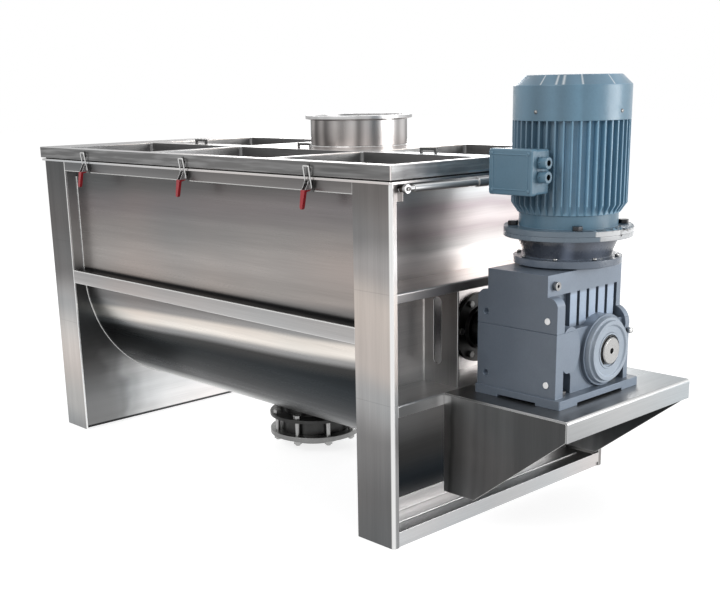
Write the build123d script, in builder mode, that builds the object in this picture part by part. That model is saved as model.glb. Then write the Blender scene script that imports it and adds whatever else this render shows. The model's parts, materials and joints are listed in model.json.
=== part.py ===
from build123d import *
import os
from math import atan, cos, pi, sqrt

os.makedirs("parts", exist_ok=True)

# Horizontal ribbon mixer, millimetres. +X runs along the shaft towards the drive, +Z is up,
# and -Y is the front, where the lid is latched. The origin is under the middle of the whole machine.

# Running, seating and welded clearances
running_gap = 0.05
free_gap = 0.3
bolt_gap = 0.2
weld_gap = 0.2

# Corner radius of a hexagon for the radius of its bolt
hex_share = 1.8

# Frame and sheet metal
frame_width = 1000
frame_length = 1778
frame_height = 1000
plate = 6
shell = 4
leg_width = 143
leg_return = 22
leg_bend = 7
shelf_reach = 420
side_projection = 40
rail_rise = 16
rail_height = 49
rail_return = 30
band_height = 34

# Trough
trough_margin = 45
trough_bottom_z = 140
shaft_z = 535
shell_to_ribbon = 6

# Top frame and lid
top_frame_thickness = 7
top_frame_width = 56
top_frame_overhang = 7
gasket_thickness = 4
lid_overhang = 9
lid_height = 38
lid_sheet = 4
lid_corner = 5
lid_edge = 2.5
lid_return = 22
pan_depth = 34
pan_corner = 12
lid_far_rim = 148
lid_near_rim = 14
lid_ridge = 30
pan_shares = (514, 568, 474)
front_pan_rim = 22
front_pan_back = -130
back_pan_front = -60
back_pan_rim = 155
gasket_inset = 3
gasket_width = 20
handle_length = 66
handle_height = 17
handle_bar = 8
inlet_y = 160
inlet_radius = 164
inlet_wall = 3
inlet_height = 100
inlet_rim_radius = 181
inlet_rim_thickness = 11
inlet_rim_slope = 4

# Lid hinge, three lugs along the back
hinge_pin_radius = 6
hinge_lug_radius = 14
hinge_waist_half = 9.8
hinge_waist_drop = 8.4
hinge_arm_half = 10
hinge_ear = 8
hinge_arm_width = 30
hinge_ear_foot = 12
hinge_ear_drop = 4
hinge_pin_end = 4
fitting_spacing = 585

# Ledges and tray across each end
upper_ledge_z = 717
upper_ledge_lip = 27
mid_ledge_z = 412
mid_ledge_lip = 34
tray_floor_z = 36
tray_lip_top = 47
tray_lip_bottom = 14
tray_back_top = 77
tray_foot_depth = 34
tray_bar_width = 6
tray_bar_height = 3
tray_bar_inset = 30

# Drive shelf and its gussets
shelf_half_width = 295
shelf_lip = 57
shelf_sheet = 6
gusset_foot_reach = 112
gusset_foot_z = 120

# Bearing brackets beside the shaft
bracket_y = 225
slot_width = 30
slot_from_plate = 53
slot_bottom_z = 470
slot_top_z = 664

# Shaft, bearings and ribbons
shaft_radius = 37.5
shaft_body_radius = 48
housing_flange_radius = 105
housing_flange = 14
housing_hub_radius = 62
housing_hub = 11
housing_hub_draft = 4
housing_bolt_ring_radius = 88
housing_bolt_count = 6
housing_bolt_radius = 6
housing_bolt_head = 10
coupling_radius = 58.5
coupling_length = 156
coupling_gap = 4
coupling_chamfer = 5
shaft_body_gap = 8
journal_overhang = 10
stub_gap = 1
stub_past_cover = 2
stub_chamfer = 2.5
centre_hole_radius = 8
centre_hole_depth = 18
hollow_reach = 6
hollow_inside_cover = 4
ring_groove_height = 7
ring_groove_depth = 5
ribbon_pitch = 710
ribbon_turns = 2
outer_ribbon_width = 50
inner_ribbon_radius = 222
inner_ribbon_width = 45
ribbon_thickness = 8
arm_radius = 12

# Discharge neck and rotary shutter valve
discharge_bore_radius = 100
neck_radius = 106
flange_radius = 160
flange_bolt_ring_radius = 140
flange_bolt_count = 8
flange_bolt_radius = 8
neck_flange_top_z = 126
neck_flange = 12
valve_body_height = 50
valve_body_radius = 124
grid_plate = 6
grid_plate_top_z = 88
valve_window_past = 2
shutter_plate = 6
petal_count = 6
petal_angle = 28
petal_inner = 24
petal_outer = 88
petal_corner = 3
shutter_pivot_radius = 10
shutter_nut_radius = 18
seal_width = 12
seal_height = 10
shutter_turn = 360 / petal_count / 2
valve_handle_reach = 330
valve_handle_width = 16
valve_handle_root = 8
valve_knob_slope = 3
valve_knob_taper = -4
valve_knob_radius = 12
valve_knob_height = 34
valve_window_angle = 44
lower_flange = 17
spout_length = 20
spout_extra = 4
valve_nut = 13
valve_thread_past = 5

# Gear unit: a flat cheek at the front, a thinner one at the back, a ribbed case between them
gear_left = 57
gear_right = 324
gear_front = 221
gear_back = 115
gear_cheek = 34
gear_back_cheek = 20
gear_foot_top = 437
gear_foot_pad = 7
gear_pad_length = 80
gear_seam_z = 611
gear_shoulder_z = 684
gear_step_z = 706
gear_back_shoulder_z = 585
gear_back_step_z = 640
gear_shoulder_run = 0.72
gear_shoulder_rise = 0.7
gear_top_z = 763
gear_neck_left = 91
gear_neck_right = 291
gear_lower_setback = 12
gear_rib_count = 5
gear_rib_pitch = 43
gear_rib = 31
gear_rib_centre_y = -20
gear_rib_depth = 16
seam_chamfer = 1.5
boss_radius = 99
boss_centre_y = 160
boss_centre_z = 560
boss_half_width = 44
boss_half_height = 64
gear_foot_left = 54
gear_foot_right = 344
gear_foot_front = 228
gear_foot_back = 140
gear_foot_corner = 5
foot_bolt_radius = 8
foot_bolt_inset = 24
foot_recess_height = 62
foot_recess_arch = 16.8
cover_radius = 93
cover_lip_radius = 76
cover_height = 21
cover_step_share = 0.55
cover_draft = 3
cover_groove = 8
cover_lip_slope = 2
cover_lip = 10
cover_dish = 5
back_cover = 8
back_cover_seat = 4
hollow_shaft_radius = 50
plug_radius = 9
plug_inset = 30
plug_levels = (472, 644)
plug_height = 3
foot_bolt_head = 10
foot_nut = 12

# Motor
motor_x = 195
motor_y = -9
adapter_flange_radius = 148
adapter_flange_bottom = 768
adapter_flange_inset = 18
adapter_bore = 60
adapter_flange_top = 787
adapter_low_radius = 119
adapter_high_radius = 135
adapter_foot_rise = 12
adapter_foot_spread = 3
adapter_neck = 10
adapter_top_flange = 13
motor_flange_bottom = 854
motor_flange_top = 869
motor_flange_radius = 175
motor_bolt_ring_radius = 150
motor_bolt_count = 4
motor_bolt_radius = 8
motor_bolt_head = 12
shield_radius = 134
shield_recess = 16
shield_recess_inset = 12
fins_bottom = 905
fins_top = 1147
fin_root_radius = 138
fin_radius = 156
fin_count = 44
fin_thickness = 5
fin_taper = 26
frame_end_wall = 14
pad_depth = 4
pad_inset_x = 12
pad_inset_z = 8
stator_radius = 125
stator_from_end = 34
rotor_radius = 79
rotor_inset = 4
air_gap = 0.7
motor_shaft_radius = 21
motor_shaft_reach = 62
cowl_top = 1236
cowl_shoulder = 26
cowl_cap_radius = 129
cowl_wall = 2.5
fan_radius = 118
fan_hub_radius = 34
fan_plate = 4
fan_from_frame = 8
fan_from_cowl = 22
fan_nut = 6
fan_blades = 9
fan_blade_gap = 3
grille_radius = 112
grille_pitch = 22
grille_slot = 13
grille_bar = 7
grille_rings = 4
grille_bars = 6
grille_bar_share = 1.1
box_width = 138
box_height = 114
box_centre_x = 174
box_centre_z = 1022
box_front = 240
box_stand_off = 3
box_corner = 7
box_edge = 5
box_lid_overhang = 2
box_wall = 6
box_lid = 20
gland_radius = 15
gland_bore = 7
gland_length = 26
gland_out = 202
gland_wall = 5
gland_hex = 10
gland_hex_radius = 17
gland_spacing = 36
gland_rise = 6

# Toggle latches
latch_pivot_drop = 10
latch_pivot_out = 12
latch_pin_radius = 3
latch_base_width = 24
latch_base_sheet = 2
lever_width = 17
lever_wall = 2
lever_boss_radius = 8
lever_shoulder = 7
lever_knee = 5
lever_waist = 3
bail_wire = 2.2
bail_bend = 2.31
bail_pivot_drop = 13
bail_pivot_in = 3
bail_rise = 46
grip_drop = 69
grip_height = 46
grip_thickness = 9
grip_lean = 8
grip_set_in = 6
keeper_depth = 6
keeper_gap = 1.5
keeper_sheet = 2
keeper_root = 4
keeper_foot_drop = 16
keeper_hook_drop = 10
keeper_tip_drop = 6
keeper_top_rise = 6

# Gas strut at the drive end
strut_x = 21
strut_front_in = 37
strut_front_drop = 12
strut_lid_y = 140
strut_lid_drop = 27
strut_tube_radius = 10
strut_tube_bore = 8.6
strut_stroke = 370
strut_piston = 14
strut_end_cap = 12
strut_piston_rest = 5
strut_neck = 14
strut_neck_inset = 3
strut_eye_overlap = 2
strut_base_cap = 6
strut_rod_radius = 4
shroud_radius = 13
shroud_bore = 10.6
shroud_front_y = 190
shroud_back_gap = 125
shroud_cap = 6
shroud_clear = 2
strut_eye_radius = 12
strut_eye_width = 10
strut_stud_radius = 5
strut_tab = 4
strut_tab_width = 34
strut_tab_share = 0.8
stud_tab_height = 34
strut_boss_radius = 9

# Places worked out from the sizes above
x_drive = (lid_overhang + frame_length + shelf_reach) / 2 - shelf_reach
x_far = x_drive - frame_length
x_mid = (x_drive + x_far) / 2
y_side = frame_width / 2
trough_radius = y_side - trough_margin
trough_axis_z = trough_bottom_z + trough_radius
plate_inner = x_drive - leg_width
plate_outer = plate_inner + plate
trough_length = frame_length - 2 * leg_width
end_width = frame_width - 2 * plate
mid_plane = Plane.YZ.offset(x_mid)
top_frame_top = frame_height + top_frame_thickness
lid_bottom = top_frame_top + gasket_thickness
lid_top = lid_bottom + lid_height
ribbon_radius = shaft_z - trough_bottom_z - shell - shell_to_ribbon
band_bottom = frame_height - band_height
cowl_cap_z = cowl_top + cowl_shoulder
latch_pivot_z = frame_height - latch_pivot_drop
grip_bottom_z = latch_pivot_z - grip_drop
strut_front_y = y_side - strut_front_in
strut_front_z = frame_height - strut_front_drop
strut_lid_z = lid_bottom - strut_lid_drop
motor_axis = Plane(origin=(x_drive + motor_x, motor_y, 0))
motor_side = Plane(origin=motor_axis.origin, x_dir=(1, 0, 0), z_dir=(0, -1, 0))
fitting_x = [x_mid - fitting_spacing, x_mid, x_mid + fitting_spacing]


def shaft_plane(x):
    """Plane across the shaft at x, its origin on the shaft axis."""
    return Plane(origin=(x, 0, shaft_z), x_dir=(0, 1, 0), z_dir=(1, 0, 0))


def front_plane(y):
    """Upright plane at -y, seen from the front: its own x is X and its own y is Z."""
    return Plane(origin=(0, -y, 0), x_dir=(1, 0, 0), z_dir=(0, -1, 0))


# Trough: one bent sheet, a half round under two flat walls
with BuildPart() as trough_shell:
    with BuildSketch(mid_plane):
        with BuildLine():
            mid_radius = trough_radius - shell / 2
            Line((-mid_radius, frame_height), (-mid_radius, trough_axis_z))
            ThreePointArc(
                (-mid_radius, trough_axis_z),
                (0, trough_axis_z - mid_radius),
                (mid_radius, trough_axis_z),
            )
            Line((mid_radius, trough_axis_z), (mid_radius, frame_height))
        trace(line_width=shell)
    extrude(amount=trough_length / 2, both=True)
    with Locations((x_mid, 0, trough_bottom_z)):
        Cylinder(discharge_bore_radius, trough_radius / 2, mode=Mode.SUBTRACT)
trough_shell.part.label = "trough_shell"
export_step(trough_shell.part, "parts/trough_shell.step")

# Top frame: flat bar ring that the lid's gasket closes on
with BuildPart() as top_frame:
    with BuildSketch(Plane.XY.offset(frame_height)):
        with Locations((x_mid, 0)):
            RectangleRounded(
                frame_length + 2 * top_frame_overhang,
                frame_width + 2 * top_frame_overhang,
                leg_bend,
            )
            Rectangle(
                frame_length + 2 * (top_frame_overhang - top_frame_width),
                frame_width + 2 * (top_frame_overhang - top_frame_width),
                mode=Mode.SUBTRACT,
            )
    extrude(amount=top_frame_thickness)
    fillet(top_frame.faces().sort_by(Axis.Z)[-1].outer_wire().edges(), top_frame_thickness / 3)
top_frame.part.label = "top_frame"
export_step(top_frame.part, "parts/top_frame.step")

# End plates close the trough and carry the shaft housings
with BuildPart() as end_plate_drive:
    with BuildSketch(Plane.YZ.offset(plate_inner)):
        with Locations((0, (frame_height + plate) / 2)):
            Rectangle(end_width, frame_height - plate)
        with Locations((0, shaft_z)):
            Circle(housing_hub_radius + free_gap, mode=Mode.SUBTRACT)
    extrude(amount=plate)
    with BuildSketch(shaft_plane(plate_outer)):
        with PolarLocations(housing_bolt_ring_radius, housing_bolt_count):
            Circle(housing_bolt_radius + bolt_gap)
    extrude(amount=-plate, mode=Mode.SUBTRACT)
end_plate_drive.part.label = "end_plate_drive"
export_step(end_plate_drive.part, "parts/end_plate_drive.step")

with BuildPart() as end_plate_far:
    mirror(end_plate_drive.part, about=mid_plane)
end_plate_far.part.label = "end_plate_far"
export_step(end_plate_far.part, "parts/end_plate_far.step")


# Legs: folded angles, their narrow return closing the end of the frame
def leg_section(x_end, side, inward):
    """Folded angle in plan, from the inner edge of a leg to the end of its return."""
    web_y = side * (y_side - plate / 2)
    FilletPolyline(
        (x_end + inward * leg_width, web_y),
        (x_end + inward * plate / 2, web_y),
        (x_end + inward * plate / 2, side * (y_side - leg_return)),
        radius=leg_bend,
    )


corners = [
    ("leg_drive_front", x_drive, -1, -1),
    ("leg_drive_rear", x_drive, 1, -1),
    ("leg_far_front", x_far, -1, 1),
    ("leg_far_rear", x_far, 1, 1),
]
legs = {}
for leg_name, x_end, side, inward in corners:
    with BuildPart() as leg:
        with BuildSketch():
            with BuildLine():
                leg_section(x_end, side, inward)
            trace(line_width=plate)
        extrude(amount=frame_height)
    legs[leg_name] = leg.part

# The front leg at the drive end also carries the gas strut's stud on a welded tab
strut_stand_off = strut_x - strut_eye_width / 2 - free_gap
with BuildPart() as leg_drive_front:
    add(legs["leg_drive_front"])
    with BuildSketch(Plane.YZ.offset(x_drive - plate)):
        with Locations((-(y_side + strut_front_y) / 2 + strut_boss_radius, strut_front_z)):
            Rectangle(y_side - strut_front_y, stud_tab_height, align=(Align.CENTER, Align.MAX))
    extrude(amount=plate)
    with BuildSketch(Plane.YZ.offset(x_drive - plate)):
        with Locations((-strut_front_y, strut_front_z)):
            Circle(strut_boss_radius)
    extrude(amount=plate + strut_stand_off)
    with BuildSketch(Plane.YZ.offset(x_drive)):
        with Locations((-strut_front_y, strut_front_z)):
            Circle(strut_stud_radius)
    extrude(amount=strut_x + strut_eye_width / 2 + strut_stud_radius)
legs["leg_drive_front"] = leg_drive_front.part

with BuildPart() as legs_far:
    add(legs["leg_far_front"])
    add(legs["leg_far_rear"])
legs_far.part.label = "legs_far"
export_step(legs_far.part, "parts/legs_far.step")
for leg_name in ("leg_drive_front", "leg_drive_rear"):
    legs[leg_name].label = leg_name
    export_step(legs[leg_name], f"parts/{leg_name}.step")

# Side rails: channels between the legs at the height where the trough starts to curve
rail_top = trough_axis_z + rail_rise
rail_bottom = rail_top - rail_height
with BuildPart() as side_rails:
    with BuildSketch(mid_plane):
        with BuildLine():
            FilletPolyline(
                (-trough_radius, rail_top - shell / 2),
                (-y_side + shell / 2, rail_top - shell / 2),
                (-y_side + shell / 2, rail_bottom + shell / 2),
                (rail_return - y_side, rail_bottom + shell / 2),
                radius=shell,
            )
        trace(line_width=shell)
    extrude(amount=trough_length / 2, both=True)
    mirror(about=Plane.XZ)
side_rails.part.label = "side_rails"
export_step(side_rails.part, "parts/side_rails.step")

# Top bands: shallow channels under the top frame, between the legs
with BuildPart() as top_bands:
    with BuildSketch(mid_plane):
        with BuildLine():
            FilletPolyline(
                (-y_side + shell / 2, frame_height),
                (-y_side + shell / 2, band_bottom + shell / 2),
                (-trough_radius, band_bottom + shell / 2),
                radius=shell,
            )
        trace(line_width=shell)
    extrude(amount=trough_length / 2, both=True)
    mirror(about=Plane.XZ)
top_bands.part.label = "top_bands"
export_step(top_bands.part, "parts/top_bands.step")

# Ledges across each end: a shelf with its front edge turned down
lip_width = frame_width - 2 * leg_return
with BuildPart() as upper_ledges:
    with BuildSketch(Plane.XZ):
        with BuildLine():
            FilletPolyline(
                (plate_outer, upper_ledge_z - shell / 2),
                (x_drive - shell / 2, upper_ledge_z - shell / 2),
                (x_drive - shell / 2, upper_ledge_z - upper_ledge_lip),
                radius=shell,
            )
        trace(line_width=shell)
    extrude(amount=lip_width / 2, both=True)
    mirror(about=mid_plane)
upper_ledges.part.label = "upper_ledges"
export_step(upper_ledges.part, "parts/upper_ledges.step")

with BuildPart() as mid_ledges:
    with BuildSketch(Plane.XZ):
        with BuildLine():
            FilletPolyline(
                (plate_outer, mid_ledge_z - shell / 2),
                (x_drive - shell / 2, mid_ledge_z - shell / 2),
                (x_drive - shell / 2, mid_ledge_z - mid_ledge_lip),
                radius=shell,
            )
        trace(line_width=shell)
    extrude(amount=lip_width / 2, both=True)
    mirror(about=mid_plane)
    with Locations((x_drive - shell / 2, 0, mid_ledge_z - shell)):
        Box(
            2 * shell,
            2 * shelf_half_width,
            2 * mid_ledge_lip,
            align=(Align.CENTER, Align.CENTER, Align.MAX),
            mode=Mode.SUBTRACT,
        )
mid_ledges.part.label = "mid_ledges"
export_step(mid_ledges.part, "parts/mid_ledges.step")

# Floor trays: shallow channels between the feet, each on a low cross bar
with BuildPart() as floor_trays:
    with BuildSketch(Plane.XZ):
        with BuildLine():
            FilletPolyline(
                (plate_outer + shell / 2, tray_back_top),
                (plate_outer + shell / 2, tray_floor_z - shell / 2),
                (x_drive - shell, tray_floor_z - shell / 2),
                radius=shell,
            )
        trace(line_width=shell)
        with BuildLine():
            Line((x_drive - shell / 2, tray_lip_top), (x_drive - shell / 2, tray_lip_bottom))
        trace(line_width=shell)
        with Locations((x_drive - shell - tray_foot_depth / 2, tray_floor_z / 2 - shell / 2)):
            Rectangle(tray_foot_depth, tray_floor_z - shell)
    extrude(amount=lip_width / 2, both=True)
    with Locations((x_drive - leg_width / 2, 0, tray_floor_z)):
        Box(
            tray_bar_width,
            lip_width - 2 * tray_bar_inset,
            tray_bar_height,
            align=(Align.CENTER, Align.CENTER, Align.MIN),
        )
    mirror(about=mid_plane)
floor_trays.part.label = "floor_trays"
export_step(floor_trays.part, "parts/floor_trays.step")

# Bearing brackets: slotted stiffeners between the two ledges, either side of the shaft
bracket_depth = leg_width - plate - 2 * shell
slot_x = plate_outer + slot_from_plate
with BuildPart() as bearing_brackets:
    with BuildSketch(front_plane(bracket_y)):
        with Locations((plate_outer + bracket_depth / 2, (mid_ledge_z + upper_ledge_z - shell) / 2)):
            Rectangle(bracket_depth, upper_ledge_z - shell - mid_ledge_z)
        with Locations((slot_x, (slot_bottom_z + slot_top_z) / 2)):
            SlotOverall(slot_top_z - slot_bottom_z, slot_width, rotation=90, mode=Mode.SUBTRACT)
    extrude(amount=plate)
    mirror(about=Plane.XZ)
    mirror(about=mid_plane)
bearing_brackets.part.label = "bearing_brackets"
export_step(bearing_brackets.part, "parts/bearing_brackets.step")

# Drive shelf: folded plate with a deep front lip, drilled for the gear unit's feet
foot_bolt_spots = [
    (x_drive + x, y)
    for x in (gear_left + foot_bolt_inset, gear_right - foot_bolt_inset)
    for y in (foot_bolt_inset - gear_front + gear_cheek, gear_back - gear_back_cheek - foot_bolt_inset)
]
shelf_underside = mid_ledge_z - shelf_sheet
with BuildPart() as drive_shelf:
    with BuildSketch(Plane.XZ):
        with BuildLine():
            FilletPolyline(
                (x_drive, mid_ledge_z - shelf_sheet / 2),
                (x_drive + shelf_reach - shelf_sheet / 2, mid_ledge_z - shelf_sheet / 2),
                (x_drive + shelf_reach - shelf_sheet / 2, mid_ledge_z - shelf_lip),
                radius=shelf_sheet,
            )
        trace(line_width=shelf_sheet)
    extrude(amount=shelf_half_width, both=True)
    with BuildSketch(Plane.XY.offset(mid_ledge_z)):
        with Locations(foot_bolt_spots):
            Circle(foot_bolt_radius + bolt_gap)
    extrude(amount=-shelf_sheet, mode=Mode.SUBTRACT)
drive_shelf.part.label = "drive_shelf"
export_step(drive_shelf.part, "parts/drive_shelf.step")

# Gussets: five-sided side plates under the shelf
with BuildPart() as shelf_gussets:
    with BuildSketch(front_plane(shelf_half_width)):
        with BuildLine():
            Polyline(
                (x_drive, shelf_underside),
                (x_drive, gusset_foot_z),
                (x_drive + gusset_foot_reach, gusset_foot_z),
                (x_drive + shelf_reach - shelf_sheet, mid_ledge_z - shelf_lip),
                (x_drive + shelf_reach - shelf_sheet, shelf_underside - shelf_sheet / 2),
                (x_drive + shelf_reach - 1.5 * shelf_sheet, shelf_underside),
                close=True,
            )
        make_face()
    extrude(amount=-shell)
    mirror(about=Plane.XZ)
shelf_gussets.part.label = "shelf_gussets"
export_step(shelf_gussets.part, "parts/shelf_gussets.step")

# Shaft housings: a bolted flange with a packing hub that reaches through the end plate
with BuildPart() as shaft_housings:
    with BuildSketch(Plane.XZ):
        with BuildLine():
            hub_outer = plate_outer + housing_flange + housing_hub
            Polyline(
                (plate_inner, shaft_z + shaft_radius + running_gap),
                (hub_outer, shaft_z + shaft_radius + running_gap),
                (hub_outer, shaft_z + housing_hub_radius),
                (plate_outer + housing_flange, shaft_z + housing_hub_radius + housing_hub_draft),
                (plate_outer + housing_flange, shaft_z + housing_flange_radius),
                (plate_outer, shaft_z + housing_flange_radius),
                (plate_outer, shaft_z + housing_hub_radius),
                (plate_inner, shaft_z + housing_hub_radius),
                close=True,
            )
        make_face()
    revolve(axis=Axis((0, 0, shaft_z), (1, 0, 0)))
    with BuildSketch(shaft_plane(plate_outer)):
        with PolarLocations(housing_bolt_ring_radius, housing_bolt_count):
            Circle(housing_bolt_radius + bolt_gap)
    extrude(amount=housing_flange, mode=Mode.SUBTRACT)
    mirror(about=mid_plane)
shaft_housings.part.label = "shaft_housings"
export_step(shaft_housings.part, "parts/shaft_housings.step")

with BuildPart() as housing_bolts:
    with BuildSketch(shaft_plane(plate_outer + housing_flange)):
        with PolarLocations(housing_bolt_ring_radius, housing_bolt_count):
            RegularPolygon(housing_bolt_radius * hex_share, 6)
    extrude(amount=housing_bolt_head)
    with BuildSketch(shaft_plane(plate_inner)):
        with PolarLocations(housing_bolt_ring_radius, housing_bolt_count):
            Circle(housing_bolt_radius)
    extrude(amount=plate + housing_flange)
    mirror(about=mid_plane)
housing_bolts.part.label = "housing_bolts"
export_step(housing_bolts.part, "parts/housing_bolts.step")

# Agitator shaft: a thick body in the trough and a journal through each housing
coupling_start = plate_outer + housing_flange + housing_hub + coupling_gap
shaft_joint = coupling_start + coupling_length / 2
body_end = plate_inner - shaft_body_gap
far_journal_end = 2 * x_mid - coupling_start - journal_overhang
with BuildPart() as main_shaft:
    with BuildSketch(Plane.XZ):
        with BuildLine():
            Polyline(
                (far_journal_end, shaft_z),
                (far_journal_end, shaft_z + shaft_radius),
                (2 * x_mid - body_end, shaft_z + shaft_radius),
                (2 * x_mid - body_end, shaft_z + shaft_body_radius),
                (body_end, shaft_z + shaft_body_radius),
                (body_end, shaft_z + shaft_radius),
                (shaft_joint - stub_gap, shaft_z + shaft_radius),
                (shaft_joint - stub_gap, shaft_z),
                close=True,
            )
        make_face()
    revolve(axis=Axis((0, 0, shaft_z), (1, 0, 0)))

# Arms: one rod through the shaft at every quarter turn of the ribbons
ribbon_length = ribbon_pitch * ribbon_turns
ribbon_start = x_mid - ribbon_length / 2
arm_count = 4 * ribbon_turns + 1
arm_reach = sqrt((ribbon_radius - outer_ribbon_width) ** 2 - arm_radius**2) - weld_gap
with BuildPart() as ribbon_arms:
    for i in range(arm_count):
        arm_x = ribbon_start + i * ribbon_pitch / 4
        with Locations(Location((arm_x, 0, shaft_z), (90 * (i % 2), 0, 0))):
            Cylinder(arm_radius, 2 * arm_reach)
ribbon_arms.part.label = "ribbon_arms"
export_step(ribbon_arms.part, "parts/ribbon_arms.step")

with BuildPart() as drilled_shaft:
    add(main_shaft.part)
    for i in range(arm_count):
        arm_x = ribbon_start + i * ribbon_pitch / 4
        with Locations(Location((arm_x, 0, shaft_z), (90 * (i % 2), 0, 0))):
            Cylinder(arm_radius, 3 * shaft_body_radius, mode=Mode.SUBTRACT)
drilled_shaft.part.label = "main_shaft"
export_step(drilled_shaft.part, "parts/main_shaft.step")

# Ribbons: bands swept along helices, in opposite-handed outer and inner pairs.
# The inner pair runs beside the arms, so it is set along the shaft by its lean at that radius.
inner_lean = atan(ribbon_pitch / (2 * pi * (inner_ribbon_radius - inner_ribbon_width)))
inner_shift = (arm_radius + ribbon_thickness / 2 + weld_gap) / cos(inner_lean)
ribbon_sets = [
    ("outer_ribbons", ribbon_radius, outer_ribbon_width, False, 0),
    ("inner_ribbons", inner_ribbon_radius, inner_ribbon_width, True, inner_shift),
]
for ribbon_name, outside, width, lefthand, shift in ribbon_sets:
    centre = Vector(ribbon_start + shift, 0, shaft_z)
    path = Helix(
        pitch=ribbon_pitch,
        height=ribbon_length,
        radius=outside - width / 2,
        center=centre,
        direction=(1, 0, 0),
        lefthand=lefthand,
    )
    with BuildPart() as band:
        with BuildSketch(Plane(origin=path @ 0, x_dir=(path @ 0) - centre, z_dir=path % 0)):
            Rectangle(width, ribbon_thickness)
        sweep(path=path, is_frenet=True)
    with BuildPart() as ribbons:
        add(band.part)
        add(band.part.rotate(Axis((0, 0, shaft_z), (1, 0, 0)), 180))
    ribbons.part.label = ribbon_name
    export_step(ribbons.part, f"parts/{ribbon_name}.step")

# Sleeve coupling in the drive bay, and the stub shaft that it joins
with BuildPart() as shaft_coupling:
    with BuildSketch(shaft_plane(coupling_start)):
        Circle(coupling_radius)
        Circle(shaft_radius + running_gap, mode=Mode.SUBTRACT)
    extrude(amount=coupling_length)
    rims = shaft_coupling.edges().filter_by(GeomType.CIRCLE).sort_by(SortBy.RADIUS)[-2:]
    chamfer(rims, coupling_chamfer)
shaft_coupling.part.label = "shaft_coupling"
export_step(shaft_coupling.part, "parts/shaft_coupling.step")

stub_start = shaft_joint + stub_gap
stub_end = x_drive + gear_right + cover_height + stub_past_cover
with BuildPart() as stub_shaft:
    with BuildSketch(shaft_plane(stub_start)):
        Circle(shaft_radius)
    extrude(amount=stub_end - stub_start)
    chamfer(stub_shaft.faces().sort_by(Axis.X)[-1].edges(), stub_chamfer)
    with BuildSketch(shaft_plane(stub_end)):
        Circle(centre_hole_radius)
    extrude(amount=-centre_hole_depth, mode=Mode.SUBTRACT)
stub_shaft.part.label = "stub_shaft"
export_step(stub_shaft.part, "parts/stub_shaft.step")

# Hollow output shaft of the gear unit, with the retaining ring's groove at its end
hollow_start = x_drive + gear_left - hollow_reach
hollow_end = x_drive + gear_right + cover_height - hollow_inside_cover
with BuildPart() as hollow_shaft:
    with BuildSketch(shaft_plane(hollow_start)):
        Circle(hollow_shaft_radius)
        Circle(shaft_radius + running_gap, mode=Mode.SUBTRACT)
    extrude(amount=hollow_end - hollow_start)
    with BuildSketch(shaft_plane(hollow_end)):
        Circle(shaft_radius + ring_groove_height)
    extrude(amount=-ring_groove_depth, mode=Mode.SUBTRACT)
hollow_shaft.part.label = "hollow_shaft"
export_step(hollow_shaft.part, "parts/hollow_shaft.step")

# Discharge neck: a pipe saddled to the trough, with a bolted flange
neck_flange_bottom_z = neck_flange_top_z - neck_flange
bolt_start = 180 / flange_bolt_count
with BuildPart() as discharge_neck:
    with BuildSketch(Plane.XY.offset(neck_flange_bottom_z)):
        with Locations((x_mid, 0)):
            Circle(neck_radius)
    extrude(amount=trough_radius / 4)
    with BuildSketch(Plane.XY.offset(neck_flange_bottom_z)):
        with Locations((x_mid, 0)):
            Circle(flange_radius)
    extrude(amount=neck_flange)
    with Locations(Location((x_mid, 0, trough_axis_z), (0, 90, 0))):
        Cylinder(trough_radius, 4 * neck_radius, mode=Mode.SUBTRACT)
    with BuildSketch(Plane.XY.offset(neck_flange_bottom_z)):
        with Locations((x_mid, 0)):
            Circle(discharge_bore_radius)
            with PolarLocations(flange_bolt_ring_radius, flange_bolt_count, start_angle=bolt_start):
                Circle(flange_bolt_radius + bolt_gap)
    extrude(amount=trough_radius / 2, mode=Mode.SUBTRACT)
discharge_neck.part.label = "discharge_neck"
export_step(discharge_neck.part, "parts/discharge_neck.step")

# Rotary shutter valve: a body with a fixed plate of petal-shaped holes, which a turning plate
# with the same holes covers. Its handle comes out at the back between two flange bolts.
valve_bottom_z = neck_flange_bottom_z - valve_body_height
valve_centre = (x_mid, 0)
shutter_z = grid_plate_top_z + free_gap
seal_z = shutter_z + shutter_plate + free_gap
with BuildSketch() as petals:
    with BuildLine():
        outer_arc = CenterArc((0, 0), petal_outer, -petal_angle / 2, petal_angle)
        inner_arc = CenterArc((0, 0), petal_inner, -petal_angle / 2, petal_angle)
        Line(outer_arc @ 0, inner_arc @ 0)
        Line(outer_arc @ 1, inner_arc @ 1)
    make_face()
    fillet(petals.vertices(), petal_corner)
with BuildPart() as valve_body:
    with BuildSketch(Plane.XY.offset(valve_bottom_z)):
        with Locations(valve_centre):
            Circle(valve_body_radius)
            Circle(discharge_bore_radius, mode=Mode.SUBTRACT)
    extrude(amount=valve_body_height)
    with BuildSketch(Plane.XY.offset(grid_plate_top_z)):
        with Locations(valve_centre):
            Circle(discharge_bore_radius)
            Circle(shutter_pivot_radius + running_gap, mode=Mode.SUBTRACT)
            with PolarLocations(0, petal_count, start_angle=shutter_turn):
                add(petals.sketch, mode=Mode.SUBTRACT)
    extrude(amount=-grid_plate)
    with BuildSketch(Plane.XY.offset(grid_plate_top_z)):
        with BuildLine():
            window = CenterArc(
                valve_centre,
                valve_body_radius + valve_window_past,
                90 - valve_window_angle / 2,
                valve_window_angle,
            )
            Line(valve_centre, window @ 0)
            Line(valve_centre, window @ 1)
        make_face()
    extrude(amount=shutter_plate + 2 * free_gap, mode=Mode.SUBTRACT)
valve_body.part.label = "valve_body"
export_step(valve_body.part, "parts/valve_body.step")

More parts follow.
